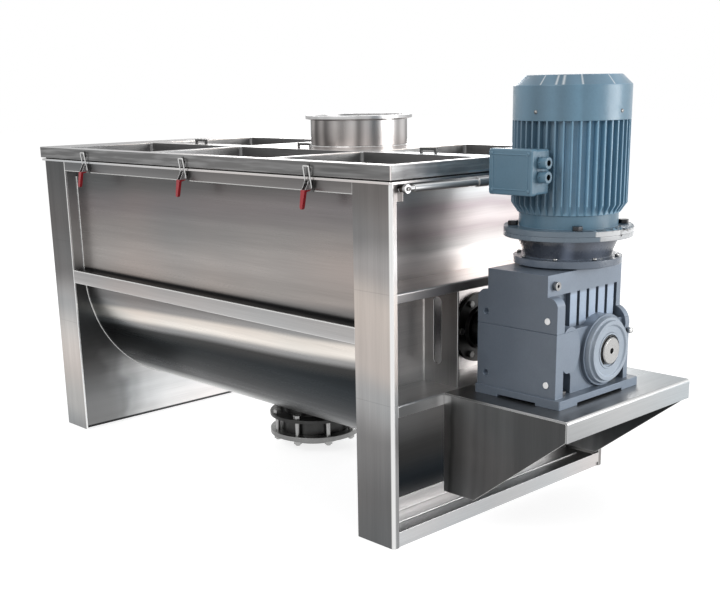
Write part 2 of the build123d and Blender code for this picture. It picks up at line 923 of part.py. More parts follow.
with BuildPart() as valve_seal:
    with BuildSketch(Plane.XY.offset(seal_z)):
        with Locations(valve_centre):
            Circle(discharge_bore_radius)
            Circle(discharge_bore_radius - seal_width, mode=Mode.SUBTRACT)
    extrude(amount=seal_height)
valve_seal.part.label = "valve_seal"
export_step(valve_seal.part, "parts/valve_seal.step")

# Shutter: turning plate with its pivot and nut, and the handle, closed at rest
handle_turn = Rotation(0, 0, 90 - shutter_turn / 2)
handle_plane = Plane(Location((x_mid, 0, shutter_z)) * handle_turn)
with BuildPart() as valve_shutter:
    with BuildSketch(Plane.XY.offset(shutter_z)):
        with Locations(valve_centre):
            Circle(discharge_bore_radius - free_gap)
            with PolarLocations(0, petal_count):
                add(petals.sketch, mode=Mode.SUBTRACT)
    extrude(amount=shutter_plate)
    with BuildSketch(Plane.XY.offset(shutter_z)):
        with Locations(valve_centre):
            Circle(shutter_pivot_radius)
    extrude(amount=-free_gap - grid_plate - free_gap)
    with BuildSketch(Plane.XY.offset(grid_plate_top_z - grid_plate - free_gap)):
        with Locations(valve_centre):
            Circle(shutter_nut_radius)
    extrude(amount=-grid_plate)
    with BuildSketch(handle_plane):
        handle_start = discharge_bore_radius - valve_handle_root
        with Locations(((handle_start + valve_handle_reach) / 2, 0)):
            SlotOverall(valve_handle_reach - handle_start, valve_handle_width)
    extrude(amount=shutter_plate)
    with BuildSketch(handle_plane.offset(shutter_plate)):
        with Locations((valve_handle_reach - valve_knob_radius, 0)):
            Circle(valve_knob_radius - valve_knob_slope)
    extrude(amount=valve_knob_height, taper=valve_knob_taper)
valve_shutter.part.label = "valve_shutter"
export_step(valve_shutter.part, "parts/valve_shutter.step")

# Lower flange with the spout that a sleeve or bag clamps to
lower_flange_bottom_z = valve_bottom_z - lower_flange
spout_radius = neck_radius + spout_extra
with BuildPart() as outlet_flange:
    with BuildSketch(Plane.XY.offset(lower_flange_bottom_z)):
        with Locations((x_mid, 0)):
            Circle(flange_radius)
            with PolarLocations(flange_bolt_ring_radius, flange_bolt_count, start_angle=bolt_start):
                Circle(flange_bolt_radius + bolt_gap, mode=Mode.SUBTRACT)
    extrude(amount=lower_flange)
    with BuildSketch(Plane.XY.offset(lower_flange_bottom_z - spout_length)):
        with Locations((x_mid, 0)):
            Circle(spout_radius)
    extrude(amount=spout_length)
    with BuildSketch(Plane.XY.offset(lower_flange_bottom_z - spout_length)):
        with Locations((x_mid, 0)):
            Circle(discharge_bore_radius)
    extrude(amount=spout_length + lower_flange, mode=Mode.SUBTRACT)
outlet_flange.part.label = "outlet_flange"
export_step(outlet_flange.part, "parts/outlet_flange.step")

# Through bolts: hex head above the neck flange, nut below the outlet flange
with BuildPart() as valve_bolts:
    hex_radius = flange_bolt_radius * hex_share
    for level in (neck_flange_top_z, lower_flange_bottom_z - valve_nut):
        with BuildSketch(Plane.XY.offset(level)):
            with Locations((x_mid, 0)):
                with PolarLocations(flange_bolt_ring_radius, flange_bolt_count, start_angle=bolt_start):
                    RegularPolygon(hex_radius, 6)
        extrude(amount=valve_nut)
    with BuildSketch(Plane.XY.offset(lower_flange_bottom_z - valve_nut - valve_thread_past)):
        with Locations((x_mid, 0)):
            with PolarLocations(flange_bolt_ring_radius, flange_bolt_count, start_angle=bolt_start):
                Circle(flange_bolt_radius)
    extrude(amount=neck_flange_top_z - lower_flange_bottom_z + valve_nut + valve_thread_past)
valve_bolts.part.label = "valve_bolts"
export_step(valve_bolts.part, "parts/valve_bolts.step")

# Gear unit: both castings are shaped as one case, then parted at the seam
body_left = x_drive + gear_left
body_right = x_drive + gear_right
neck_left = x_drive + gear_neck_left
neck_right = x_drive + gear_neck_right
case_front = gear_front - gear_cheek
case_back = gear_back - gear_back_cheek
foot_size_x = gear_foot_right - gear_foot_left
foot_size_y = gear_foot_back + gear_foot_front
foot_centre = (
    x_drive + (gear_foot_left + gear_foot_right) / 2,
    (gear_foot_back - gear_foot_front) / 2,
)


def cheek_outline(step_z, shoulder_z):
    """Closed outline of a cheek seen from the front, with rounded shoulders under its neck."""
    rise = step_z - shoulder_z
    for edge, neck in ((body_left, neck_left), (body_right, neck_right)):
        run = edge - neck
        ThreePointArc(
            (neck, step_z),
            (neck + gear_shoulder_run * run, shoulder_z + gear_shoulder_rise * rise),
            (edge, shoulder_z),
        )
        Line((neck, step_z), (neck, gear_top_z))
        Line((edge, shoulder_z), (edge, gear_foot_top))
    Line((neck_left, gear_top_z), (neck_right, gear_top_z))
    Line((body_left, gear_foot_top), (body_right, gear_foot_top))


with BuildPart() as gear_case:
    with BuildSketch(front_plane(gear_front)):
        with BuildLine():
            cheek_outline(gear_step_z, gear_shoulder_z)
        make_face()
    extrude(amount=-gear_cheek)
    with BuildSketch(front_plane(-gear_back)):
        with BuildLine():
            cheek_outline(gear_back_step_z, gear_back_shoulder_z)
        make_face()
    extrude(amount=gear_back_cheek)
    with BuildSketch(front_plane(case_front)):
        with Locations(((neck_left + neck_right) / 2, gear_foot_top)):
            Rectangle(
                gear_neck_right - gear_neck_left,
                gear_top_z - gear_foot_top,
                align=(Align.CENTER, Align.MIN),
            )
        with Locations(((body_left + body_right) / 2, gear_foot_top)):
            Rectangle(
                gear_right - gear_left - 2 * gear_lower_setback,
                gear_seam_z - gear_foot_top,
                align=(Align.CENTER, Align.MIN),
            )
    extrude(amount=-case_front - case_back)
    # Grooves between the cooling ribs, on both faces of the neck
    with BuildSketch(Plane.YZ.offset(neck_right)) as grooves:
        with Locations(((case_back - case_front) / 2, (gear_seam_z + gear_step_z) / 2)):
            Rectangle(case_front + case_back, gear_step_z - gear_seam_z)
        with Locations((gear_rib_centre_y, (gear_seam_z + gear_step_z) / 2)):
            with GridLocations(gear_rib_pitch, 1, gear_rib_count, 1):
                Rectangle(gear_rib, gear_step_z - gear_seam_z, mode=Mode.SUBTRACT)
    extrude(amount=-gear_rib_depth, mode=Mode.SUBTRACT)
    with BuildSketch(Plane.YZ.offset(neck_left)):
        add(grooves.sketch_local)
    extrude(amount=gear_rib_depth, mode=Mode.SUBTRACT)
    # Round bosses for the output bearings, and the oval boss beside each
    with BuildSketch(Plane.YZ.offset(body_left)):
        with Locations((0, shaft_z)):
            Circle(boss_radius)
        with Locations((-boss_centre_y, boss_centre_z)):
            Ellipse(boss_half_width, boss_half_height)
    extrude(amount=body_right - body_left)
    # Arched recesses over the foot bolts
    for face, inward in ((body_left, 1), (body_right, -1)):
        with BuildSketch(Plane.YZ.offset(face)) as recess:
            for y in sorted({spot[1] for spot in foot_bolt_spots}):
                with Locations((y, gear_foot_top)):
                    Rectangle(
                        2 * foot_bolt_inset, foot_recess_height, align=(Align.CENTER, Align.MIN)
                    )
            fillet(recess.vertices().group_by(Axis.Y)[-1], foot_recess_arch)
        extrude(amount=inward * 2 * foot_bolt_inset, mode=Mode.SUBTRACT)
    with BuildSketch(Plane.XY.offset(mid_ledge_z + gear_foot_pad)):
        with Locations(foot_centre):
            RectangleRounded(foot_size_x, foot_size_y, gear_foot_corner)
    extrude(amount=gear_foot_top - mid_ledge_z - gear_foot_pad)
    with BuildSketch(Plane.XY.offset(mid_ledge_z)):
        with Locations(foot_centre):
            RectangleRounded(foot_size_x, foot_size_y, gear_foot_corner)
            Rectangle(foot_size_x - 2 * gear_pad_length, foot_size_y, mode=Mode.SUBTRACT)
            Rectangle(foot_size_x, foot_size_y - 2 * gear_pad_length, mode=Mode.SUBTRACT)
    extrude(amount=gear_foot_pad)
    with BuildSketch(shaft_plane(body_left)):
        Circle(hollow_shaft_radius + running_gap)
    extrude(amount=body_right - body_left, mode=Mode.SUBTRACT)
    with BuildSketch(Plane.XY.offset(gear_foot_top)):
        with Locations(foot_bolt_spots):
            Circle(foot_bolt_radius + bolt_gap)
    extrude(amount=mid_ledge_z - gear_foot_top, mode=Mode.SUBTRACT)
    with BuildSketch(front_plane(gear_front)):
        for level in plug_levels:
            with Locations((body_left + plug_inset, level)):
                Circle(plug_radius)
    extrude(amount=-gear_cheek / 2, mode=Mode.SUBTRACT)

seam = Plane.XY.offset(gear_seam_z)
for case_name, keep in (("gearbox_lower_case", Keep.BOTTOM), ("gearbox_upper_case", Keep.TOP)):
    with BuildPart() as casting:
        add(gear_case.part)
        split(bisect_by=seam, keep=keep)
        seam_edges = casting.edges().filter_by_position(Axis.Z, gear_seam_z, gear_seam_z)
        chamfer(seam_edges.filter_by(Axis.X).sort_by(Axis.Y)[0], seam_chamfer)
    casting.part.label = case_name
    export_step(casting.part, f"parts/{case_name}.step")

# Output covers: stepped rings round the hollow shaft on both sides of the case
cover_step = body_right + cover_height * cover_step_share
lip_out = shaft_z + cover_lip_radius + cover_groove - cover_lip_slope
with BuildPart() as gearbox_covers:
    with BuildSketch(Plane.XZ):
        with BuildLine():
            Polyline(
                (body_right, shaft_z + hollow_shaft_radius + free_gap),
                (body_right, shaft_z + cover_radius),
                (cover_step, shaft_z + cover_radius - cover_draft),
                (cover_step, lip_out + cover_lip_slope),
                (body_right + cover_height, lip_out),
                (body_right + cover_height, lip_out - cover_lip),
                (body_right + cover_height - cover_dish, lip_out - cover_lip - 2 * cover_lip_slope),
                (body_right + cover_height - cover_dish, shaft_z + hollow_shaft_radius + free_gap),
                close=True,
            )
        make_face()
        with Locations(
            (body_left - back_cover_seat, shaft_z + (cover_lip_radius + hollow_shaft_radius) / 2)
        ):
            Rectangle(back_cover, cover_lip_radius - hollow_shaft_radius - free_gap)
    revolve(axis=Axis((0, 0, shaft_z), (1, 0, 0)))
gearbox_covers.part.label = "gearbox_covers"
export_step(gearbox_covers.part, "parts/gearbox_covers.step")

# Motor adapter: flange on the gear unit, a cone, and a flange that the motor is bolted to.
# It is hollow for the motor's shaft.
adapter_top_z = motor_flange_bottom - adapter_top_flange
adapter_spigot = adapter_flange_radius - adapter_flange_inset
with BuildPart() as motor_adapter:
    with BuildSketch(motor_side):
        with BuildLine():
            Polyline(
                (adapter_bore, gear_top_z),
                (adapter_spigot, gear_top_z),
                (adapter_spigot, adapter_flange_bottom),
                (adapter_flange_radius, adapter_flange_bottom),
                (adapter_flange_radius, adapter_flange_top),
                (adapter_low_radius, adapter_flange_top),
                (adapter_low_radius + adapter_foot_spread, adapter_flange_top + adapter_foot_rise),
                (adapter_high_radius, adapter_top_z - adapter_neck),
                (adapter_high_radius, adapter_top_z),
                (motor_flange_radius, adapter_top_z),
                (motor_flange_radius, motor_flange_bottom),
                (adapter_bore, motor_flange_bottom),
                close=True,
            )
        make_face()
    revolve(axis=Axis(motor_axis.origin, (0, 0, 1)))
    with BuildSketch(motor_axis.offset(adapter_top_z)):
        with PolarLocations(motor_bolt_ring_radius, motor_bolt_count, start_angle=45):
            Circle(motor_bolt_radius + bolt_gap)
    extrude(amount=adapter_top_flange, mode=Mode.SUBTRACT)
motor_adapter.part.label = "motor_adapter"
export_step(motor_adapter.part, "parts/motor_adapter.step")

# Lower end shield of the motor: mounting flange with four bolt bosses and the bearing bore
with BuildPart() as motor_end_shield:
    with BuildSketch(motor_axis.offset(motor_flange_bottom)):
        Circle(motor_flange_radius)
    extrude(amount=motor_flange_top - motor_flange_bottom)
    fillet(motor_end_shield.faces().sort_by(Axis.Z)[-1].edges(), 3)
    with BuildSketch(motor_axis.offset(motor_flange_top)):
        Circle(shield_radius)
    extrude(amount=fins_bottom - motor_flange_top)
    with BuildSketch(motor_axis.offset(fins_bottom)):
        Circle(stator_radius - shield_recess_inset)
    extrude(amount=-shield_recess, mode=Mode.SUBTRACT)
    with BuildSketch(motor_axis.offset(motor_flange_bottom)):
        Circle(motor_shaft_radius + running_gap)
    extrude(amount=fins_bottom - motor_flange_bottom, mode=Mode.SUBTRACT)
    with BuildSketch(motor_axis.offset(motor_flange_bottom)):
        with PolarLocations(motor_bolt_ring_radius, motor_bolt_count, start_angle=45):
            Circle(motor_bolt_radius + bolt_gap)
    extrude(amount=motor_flange_top - motor_flange_bottom, mode=Mode.SUBTRACT)
motor_end_shield.part.label = "motor_end_shield"
export_step(motor_end_shield.part, "parts/motor_end_shield.step")

# Motor frame: tube with radial cooling fins that taper off at the bottom, and the box pad
box_back = fin_radius - motor_y + box_stand_off
pad_root = fin_root_radius - pad_depth
with BuildPart() as motor_frame:
    with BuildSketch(motor_axis.offset(fins_bottom)):
        Circle(fin_root_radius)
        with PolarLocations(0, fin_count, start_angle=180 / fin_count):
            with Locations(((fin_root_radius + fin_radius) / 2, 0)):
                Rectangle(fin_radius - fin_root_radius + 2 * fin_thickness, fin_thickness)
    extrude(amount=fins_top - fins_bottom)
    with BuildSketch(motor_side):
        with BuildLine():
            Polyline(
                (0, fins_bottom),
                (fin_root_radius, fins_bottom),
                (fin_radius, fins_bottom + fin_taper),
                (fin_radius, fins_top),
                (0, fins_top),
                close=True,
            )
        make_face()
    revolve(axis=Axis(motor_axis.origin, (0, 0, 1)), mode=Mode.INTERSECT)
    with BuildSketch(front_plane(pad_root)):
        with Locations((x_drive + box_centre_x, box_centre_z)):
            RectangleRounded(box_width - 2 * pad_inset_x, box_height - 2 * pad_inset_z, box_edge)
    extrude(amount=box_back - pad_root)
    with BuildSketch(motor_axis.offset(fins_bottom)):
        Circle(stator_radius)
    extrude(amount=fins_top - fins_bottom - frame_end_wall, mode=Mode.SUBTRACT)
    with BuildSketch(motor_axis.offset(fins_top)):
        Circle(motor_shaft_radius + running_gap)
    extrude(amount=-frame_end_wall, mode=Mode.SUBTRACT)
motor_frame.part.label = "motor_frame"
export_step(motor_frame.part, "parts/motor_frame.step")

# Stator pack and the rotor that turns in it
stator_bottom = fins_bottom + stator_from_end
stator_top = fins_top - stator_from_end
with BuildPart() as stator_core:
    with BuildSketch(motor_axis.offset(stator_bottom)):
        Circle(stator_radius)
        Circle(rotor_radius + air_gap, mode=Mode.SUBTRACT)
    extrude(amount=stator_top - stator_bottom)
stator_core.part.label = "stator_core"
export_step(stator_core.part, "parts/stator_core.step")

shaft_low = motor_flange_bottom - motor_shaft_reach
fan_bottom = fins_top + fan_from_frame
fan_top = cowl_top - fan_from_cowl
with BuildPart() as motor_rotor:
    with BuildSketch(motor_axis.offset(shaft_low)):
        Circle(motor_shaft_radius)
    extrude(amount=fan_top + fan_nut - shaft_low)
    with BuildSketch(motor_axis.offset(stator_bottom + rotor_inset)):
        Circle(rotor_radius)
    extrude(amount=stator_top - stator_bottom - 2 * rotor_inset)
motor_rotor.part.label = "motor_rotor"
export_step(motor_rotor.part, "parts/motor_rotor.step")

with BuildPart() as motor_fan:
    with BuildSketch(motor_axis.offset(fan_bottom)):
        Circle(fan_hub_radius)
        Circle(motor_shaft_radius + running_gap, mode=Mode.SUBTRACT)
    extrude(amount=fan_top - fan_bottom)
    with BuildSketch(motor_axis.offset(fan_bottom)):
        Circle(fan_radius)
        Circle(motor_shaft_radius + running_gap, mode=Mode.SUBTRACT)
    extrude(amount=fan_plate)
    with BuildSketch(motor_axis.offset(fan_bottom + fan_plate / 2)):
        with PolarLocations(0, fan_blades):
            with Locations(((fan_radius + fan_hub_radius) / 2 - fan_blade_gap, 0)):
                Rectangle(fan_radius - fan_hub_radius, fan_plate)
    extrude(amount=fan_top - fan_bottom - fan_plate / 2)
motor_fan.part.label = "motor_fan"
export_step(motor_fan.part, "parts/motor_fan.step")

# Fan cowl: pressed cap with a sloped shoulder and a ringed air grille
with BuildPart() as fan_cowl:
    with BuildSketch(motor_side):
        with BuildLine():
            Polyline(
                (fin_radius, fins_top),
                (fin_radius, cowl_top),
                (cowl_cap_radius, cowl_cap_z),
                (0, cowl_cap_z),
                (0, cowl_cap_z - cowl_wall),
                (cowl_cap_radius - 1, cowl_cap_z - cowl_wall),
                (fin_radius - cowl_wall, cowl_top - 1),
                (fin_radius - cowl_wall, fins_top),
                close=True,
            )
        make_face()
    revolve(axis=Axis(motor_axis.origin, (0, 0, 1)))
    with BuildSketch(motor_axis.offset(cowl_cap_z)):
        for ring in range(grille_rings):
            Circle(grille_radius - grille_pitch * ring)
            Circle(grille_radius - grille_pitch * ring - grille_slot, mode=Mode.SUBTRACT)
        with PolarLocations(grille_radius / 2, grille_bars):
            Rectangle(grille_bar_share * grille_radius, grille_bar, mode=Mode.SUBTRACT)
    extrude(amount=-cowl_wall, mode=Mode.SUBTRACT)
fan_cowl.part.label = "fan_cowl"
export_step(fan_cowl.part, "parts/fan_cowl.step")

# Terminal box on the motor's front, its screwed lid and two cable glands
box_x = x_drive + box_centre_x
gland_z = [box_centre_z + gland_rise + side * gland_spacing / 2 for side in (-1, 1)]
gland_thread = gland_radius - gland_wall
with BuildPart() as terminal_box:
    with BuildSketch(front_plane(box_back)):
        with Locations((box_x, box_centre_z)):
            RectangleRounded(box_width, box_height, box_corner)
    extrude(amount=box_front - box_lid - box_back)
    with BuildSketch(front_plane(box_front - box_lid)):
        with Locations((box_x, box_centre_z)):
            RectangleRounded(box_width - 2 * box_wall, box_height - 2 * box_wall, box_edge)
    extrude(amount=-(box_front - box_lid - box_back - box_wall), mode=Mode.SUBTRACT)
    with BuildSketch(Plane.YZ.offset(box_x + box_width / 2)):
        for z in gland_z:
            with Locations((-gland_out, z)):
                Circle(gland_thread + bolt_gap)
    extrude(amount=-box_wall, mode=Mode.SUBTRACT)
terminal_box.part.label = "terminal_box"
export_step(terminal_box.part, "parts/terminal_box.step")

with BuildPart() as terminal_box_lid:
    with BuildSketch(front_plane(box_front - box_lid)):
        with Locations((box_x, box_centre_z)):
            RectangleRounded(
                box_width + 2 * box_lid_overhang, box_height + 2 * box_lid_overhang, box_corner
            )
    extrude(amount=box_lid)
    fillet(terminal_box_lid.faces().sort_by(Axis.Y)[0].edges(), box_edge)
terminal_box_lid.part.label = "terminal_box_lid"
export_step(terminal_box_lid.part, "parts/terminal_box_lid.step")

with BuildPart() as cable_glands:
    for z in gland_z:
        gland_plane = Plane(
            origin=(box_x + box_width / 2, -gland_out, z), x_dir=(0, 1, 0), z_dir=(1, 0, 0)
        )
        with BuildSketch(gland_plane):
            RegularPolygon(gland_hex_radius, 6)
        extrude(amount=gland_hex)
        with BuildSketch(gland_plane):
            Circle(gland_radius)
        extrude(amount=gland_length)
        with BuildSketch(gland_plane.offset(-gland_hex)):
            Circle(gland_thread)
        extrude(amount=gland_hex)
        with BuildSketch(gland_plane.offset(gland_length)):
            Circle(gland_bore)
        extrude(amount=-gland_length - gland_hex, mode=Mode.SUBTRACT)
cable_glands.part.label = "cable_glands"
export_step(cable_glands.part, "parts/cable_glands.step")

# Fasteners of the drive: foot bolts with nuts, motor flange bolts, plugs and the cap screw
with BuildPart() as drive_fasteners:
    for level, height in ((gear_foot_top, foot_bolt_head), (shelf_underside, -foot_nut)):
        with BuildSketch(Plane.XY.offset(level)):
            with Locations(foot_bolt_spots):
                RegularPolygon(foot_bolt_radius * hex_share, 6)
        extrude(amount=height)
    with BuildSketch(Plane.XY.offset(shelf_underside)):
        with Locations(foot_bolt_spots):
            Circle(foot_bolt_radius)
    extrude(amount=gear_foot_top - shelf_underside)
    with BuildSketch(motor_axis.offset(motor_flange_top)):
        with PolarLocations(motor_bolt_ring_radius, motor_bolt_count, start_angle=45):
            RegularPolygon(motor_bolt_radius * hex_share, 6)
    extrude(amount=motor_bolt_head)
    with BuildSketch(motor_axis.offset(adapter_top_z)):
        with PolarLocations(motor_bolt_ring_radius, motor_bolt_count, start_angle=45):
            Circle(motor_bolt_radius)
    extrude(amount=motor_flange_top - adapter_top_z)
    with BuildSketch(front_plane(gear_front)):
        for level in plug_levels:
            with Locations((body_right - plug_inset, level)):
                Circle(plug_radius)
    extrude(amount=plug_height)
    with BuildSketch(Plane.YZ.offset(neck_right)):
        with Locations((-gear_front + plug_inset, gear_top_z - plug_inset)):
            Circle(plug_radius + plug_height)
            Circle(plug_radius / 2, mode=Mode.SUBTRACT)
    extrude(amount=4 * plug_height)
drive_fasteners.part.label = "drive_fasteners"
export_step(drive_fasteners.part, "parts/drive_fasteners.step")

# Lid: a shallow tray, its top pressed down into five pans between narrow ridges.
# Three columns of pans share the length between the rims; the middle one has no back pan.
pan_run = frame_length - lid_far_rim - lid_near_rim - 2 * lid_ridge
pan_columns = []
pan_start = x_far + lid_far_rim
for share in pan_shares:
    pan_end = pan_start + pan_run * share / sum(pan_shares)
    pan_columns.append((pan_start, pan_end))
    pan_start = pan_end + lid_ridge
front_pan_rows = (front_pan_rim - y_side, front_pan_back)
back_pan_rows = (back_pan_front, y_side - back_pan_rim)
lid_length = frame_length + 2 * lid_overhang
lid_width = frame_width + 2 * lid_overhang
pans = [(column, front_pan_rows) for column in pan_columns]
pans += [(pan_columns[0], back_pan_rows), (pan_columns[2], back_pan_rows)]
inlet_x = sum(pan_columns[1]) / 2
lid_handle_y = (front_pan_rows[1] + back_pan_rows[0]) / 2
lid_end = x_drive + lid_overhang
lid_tab_boss = strut_x - strut_eye_width / 2 - 2 * free_gap - lid_overhang
with BuildPart() as lid_panel:
    with BuildSketch(Plane.XY.offset(lid_bottom)):
        with Locations((x_mid, 0)):
            RectangleRounded(lid_length, lid_width, lid_corner)
    extrude(amount=lid_height)
    fillet(lid_panel.faces().sort_by(Axis.Z)[-1].edges(), lid_edge)
    with BuildSketch(Plane.XY.offset(lid_top)):
        for (start, end), (near, back) in pans:
            with Locations(((start + end) / 2, (near + back) / 2)):
                RectangleRounded(end - start, back - near, pan_corner)
    extrude(amount=-pan_depth, mode=Mode.SUBTRACT)
    with BuildSketch(Plane.XY.offset(lid_bottom)):
        with Locations((x_mid, 0)):
            Rectangle(lid_length - 2 * lid_sheet, lid_width - 2 * lid_sheet)
        for (start, end), (near, back) in pans:
            with Locations(((start + end) / 2, (near + back) / 2)):
                RectangleRounded(
                    end - start + 2 * lid_sheet,
                    back - near + 2 * lid_sheet,
                    pan_corner + lid_sheet,
                    mode=Mode.SUBTRACT,
                )
    extrude(amount=lid_height - lid_sheet, mode=Mode.SUBTRACT)
    with BuildSketch(Plane.XY.offset(lid_bottom)):
        with Locations((x_mid, 0)):
            Rectangle(lid_length - 2 * lid_sheet, lid_width - 2 * lid_sheet)
            Rectangle(
                lid_length - 2 * (lid_sheet + lid_return),
                lid_width - 2 * (lid_sheet + lid_return),
                mode=Mode.SUBTRACT,
            )
    extrude(amount=lid_sheet)
    with BuildSketch(Plane.XY.offset(lid_bottom)):
        with Locations((inlet_x, inlet_y)):
            Circle(inlet_radius - inlet_wall)
    extrude(amount=lid_height, mode=Mode.SUBTRACT)
    # Tab for the gas strut, hung from the drive-end rim
    with BuildSketch(Plane.YZ.offset(lid_end)):
        with Locations((strut_lid_y, strut_lid_z)):
            Rectangle(
                strut_tab_width,
                lid_bottom + lid_height * strut_tab_share - strut_lid_z,
                align=(Align.CENTER, Align.MIN),
            )
            Circle(strut_tab_width / 2)
    extrude(amount=strut_tab)
    with BuildSketch(Plane.YZ.offset(lid_end)):
        with Locations((strut_lid_y, strut_lid_z)):
            Circle(strut_boss_radius)
    extrude(amount=lid_tab_boss)
lid_panel.part.label = "lid_panel"
export_step(lid_panel.part, "parts/lid_panel.step")

# Charging inlet: a short tube with a rolled clamp rim
with BuildPart() as lid_inlet:
    with BuildSketch(Plane(origin=(inlet_x, inlet_y, 0), x_dir=(1, 0, 0), z_dir=(0, -1, 0))):
        with BuildLine():
            rim_bottom = lid_top + inlet_height - inlet_rim_thickness
            Polyline(
                (inlet_radius - inlet_wall, lid_top),
                (inlet_radius, lid_top),
                (inlet_radius, rim_bottom - inlet_rim_slope),
                (inlet_rim_radius, rim_bottom),
                (inlet_rim_radius, lid_top + inlet_height),
                (inlet_radius - inlet_wall, lid_top + inlet_height),
                close=True,
            )
        make_face()
    revolve(axis=Axis((inlet_x, inlet_y, 0), (0, 0, 1)))
lid_inlet.part.label = "lid_inlet"
export_step(lid_inlet.part, "parts/lid_inlet.step")

# Gasket under the lid's rim
with BuildPart() as lid_gasket:
    with BuildSketch(Plane.XY.offset(top_frame_top + free_gap)):
        with Locations((x_mid, 0)):
            for inset, mode in (
                (gasket_inset, Mode.ADD),
                (gasket_inset + gasket_width, Mode.SUBTRACT),
            ):
                RectangleRounded(
                    frame_length - 2 * inset, frame_width - 2 * inset, 2 * gasket_thickness, mode=mode
                )
    extrude(amount=gasket_thickness - free_gap)
lid_gasket.part.label = "lid_gasket"
export_step(lid_gasket.part, "parts/lid_gasket.step")

# Three low lifting handles on the strip between the pans
with BuildPart() as lid_handles:
    for start, end in pan_columns:
        handle_x = (start + end) / 2
        with BuildSketch(front_plane(-lid_handle_y - handle_bar / 2)):
            with Locations((handle_x, lid_top + handle_height / 2)):
                Rectangle(handle_length, handle_height)
            with Locations((handle_x, lid_top + (handle_height - handle_bar) / 2)):
                Rectangle(
                    handle_length - 2 * handle_bar, handle_height - handle_bar, mode=Mode.SUBTRACT
                )
        extrude(amount=-handle_bar)
lid_handles.part.label = "lid_handles"
export_step(lid_handles.part, "parts/lid_handles.step")

# Rear hinge: ears and pin on the frame, an arm on the lid between them
hinge_y = y_side + side_projection - hinge_lug_radius
hinge_z = lid_bottom + lid_height / 2
with BuildPart() as hinge_lugs:
    for x in fitting_x:
        for side in (-1, 1):
            ear_x = x + side * (hinge_arm_width / 2 + free_gap + hinge_ear / 2)
            with BuildSketch(Plane.YZ.offset(ear_x - hinge_ear / 2)):
                with BuildLine():
                    Polyline(
                        (y_side, band_bottom + hinge_ear_drop),
                        (y_side + hinge_ear_foot, band_bottom + hinge_ear_drop),
                        (hinge_y + hinge_waist_half, hinge_z - hinge_waist_drop),
                        (hinge_y - hinge_waist_half, hinge_z - hinge_waist_drop),
                        (hinge_y - hinge_lug_radius, frame_height - free_gap),
                        (y_side, frame_height - free_gap),
                        close=True,
                    )
                make_face()
                with Locations((hinge_y, hinge_z)):
                    Circle(hinge_lug_radius)
            extrude(amount=hinge_ear)
        with BuildSketch(Plane.YZ.offset(x - hinge_arm_width / 2 - hinge_ear - hinge_pin_end)):
            with Locations((hinge_y, hinge_z)):
                Circle(hinge_pin_radius)
        extrude(amount=hinge_arm_width + 2 * (hinge_ear + hinge_pin_end))
hinge_lugs.part.label = "hinge_lugs"
export_step(hinge_lugs.part, "parts/hinge_lugs.step")

with BuildPart() as hinge_arms:
    for x in fitting_x:
        with BuildSketch(Plane.YZ.offset(x - hinge_arm_width / 2)):
            with BuildLine():
                Polyline(
                    (y_side + lid_overhang, hinge_z - hinge_arm_half),
                    (hinge_y, hinge_z - hinge_arm_half),
                    (hinge_y, hinge_z + hinge_arm_half),
                    (y_side + lid_overhang, hinge_z + hinge_arm_half),
                    close=True,
                )
            make_face()
            with Locations((hinge_y, hinge_z)):
                Circle(hinge_arm_half)
                Circle(hinge_pin_radius + running_gap, mode=Mode.SUBTRACT)
        extrude(amount=hinge_arm_width)
hinge_arms.part.label = "hinge_arms"
export_step(hinge_arms.part, "parts/hinge_arms.step")

# Toggle latches: base with ears and pin, keeper on the lid, lever with its grip, wire bail
pivot_y = y_side + latch_pivot_out
bail_y = pivot_y - bail_pivot_in
bail_z = latch_pivot_z - bail_pivot_drop
keeper_face = y_side + lid_overhang
bail_top_y = keeper_face + keeper_depth + keeper_gap + bail_wire
bail_top_z = latch_pivot_z + bail_rise
with BuildPart() as latch_bases:
    for x in fitting_x:
        with BuildSketch(front_plane(y_side)):
            with Locations((x, latch_pivot_z - lever_boss_radius)):
                RectangleRounded(latch_base_width, 4 * lever_boss_radius, 3)
        extrude(amount=latch_base_sheet)
        for side in (-1, 1):
            ear_x = x + side * lever_width / 4
            with BuildSketch(Plane.YZ.offset(ear_x - latch_base_sheet / 2)):
                with Locations((-pivot_y, latch_pivot_z)):
                    Circle(lever_boss_radius - 2)
                with Locations((-(y_side + pivot_y) / 2, latch_pivot_z)):
                    Rectangle(latch_pivot_out, 2 * lever_boss_radius - 4)
            extrude(amount=latch_base_sheet)
        with BuildSketch(Plane.YZ.offset(x - lever_width / 2)):
            with Locations((-pivot_y, latch_pivot_z)):
                Circle(latch_pin_radius)
        extrude(amount=lever_width)
latch_bases.part.label = "latch_bases"
export_step(latch_bases.part, "parts/latch_bases.step")

with BuildPart() as latch_keepers:
    for x in fitting_x:
        with BuildSketch(Plane.YZ.offset(x - lever_width / 4)):
            with BuildLine():
                Polyline(
                    (-keeper_face, bail_top_z - keeper_foot_drop),
                    (-keeper_face - keeper_root, bail_top_z - keeper_foot_drop),
                    (-keeper_face - keeper_depth, bail_top_z - keeper_hook_drop),
                    (-keeper_face - keeper_depth, bail_top_z - keeper_tip_drop),
                    (-keeper_face - keeper_sheet, bail_top_z - keeper_hook_drop),
                    (-keeper_face - keeper_sheet, bail_top_z + keeper_top_rise),
                    (-keeper_face, bail_top_z + keeper_top_rise),
                    close=True,
                )
            make_face()
        extrude(amount=lever_width / 2)
latch_keepers.part.label = "latch_keepers"
export_step(latch_keepers.part, "parts/latch_keepers.step")

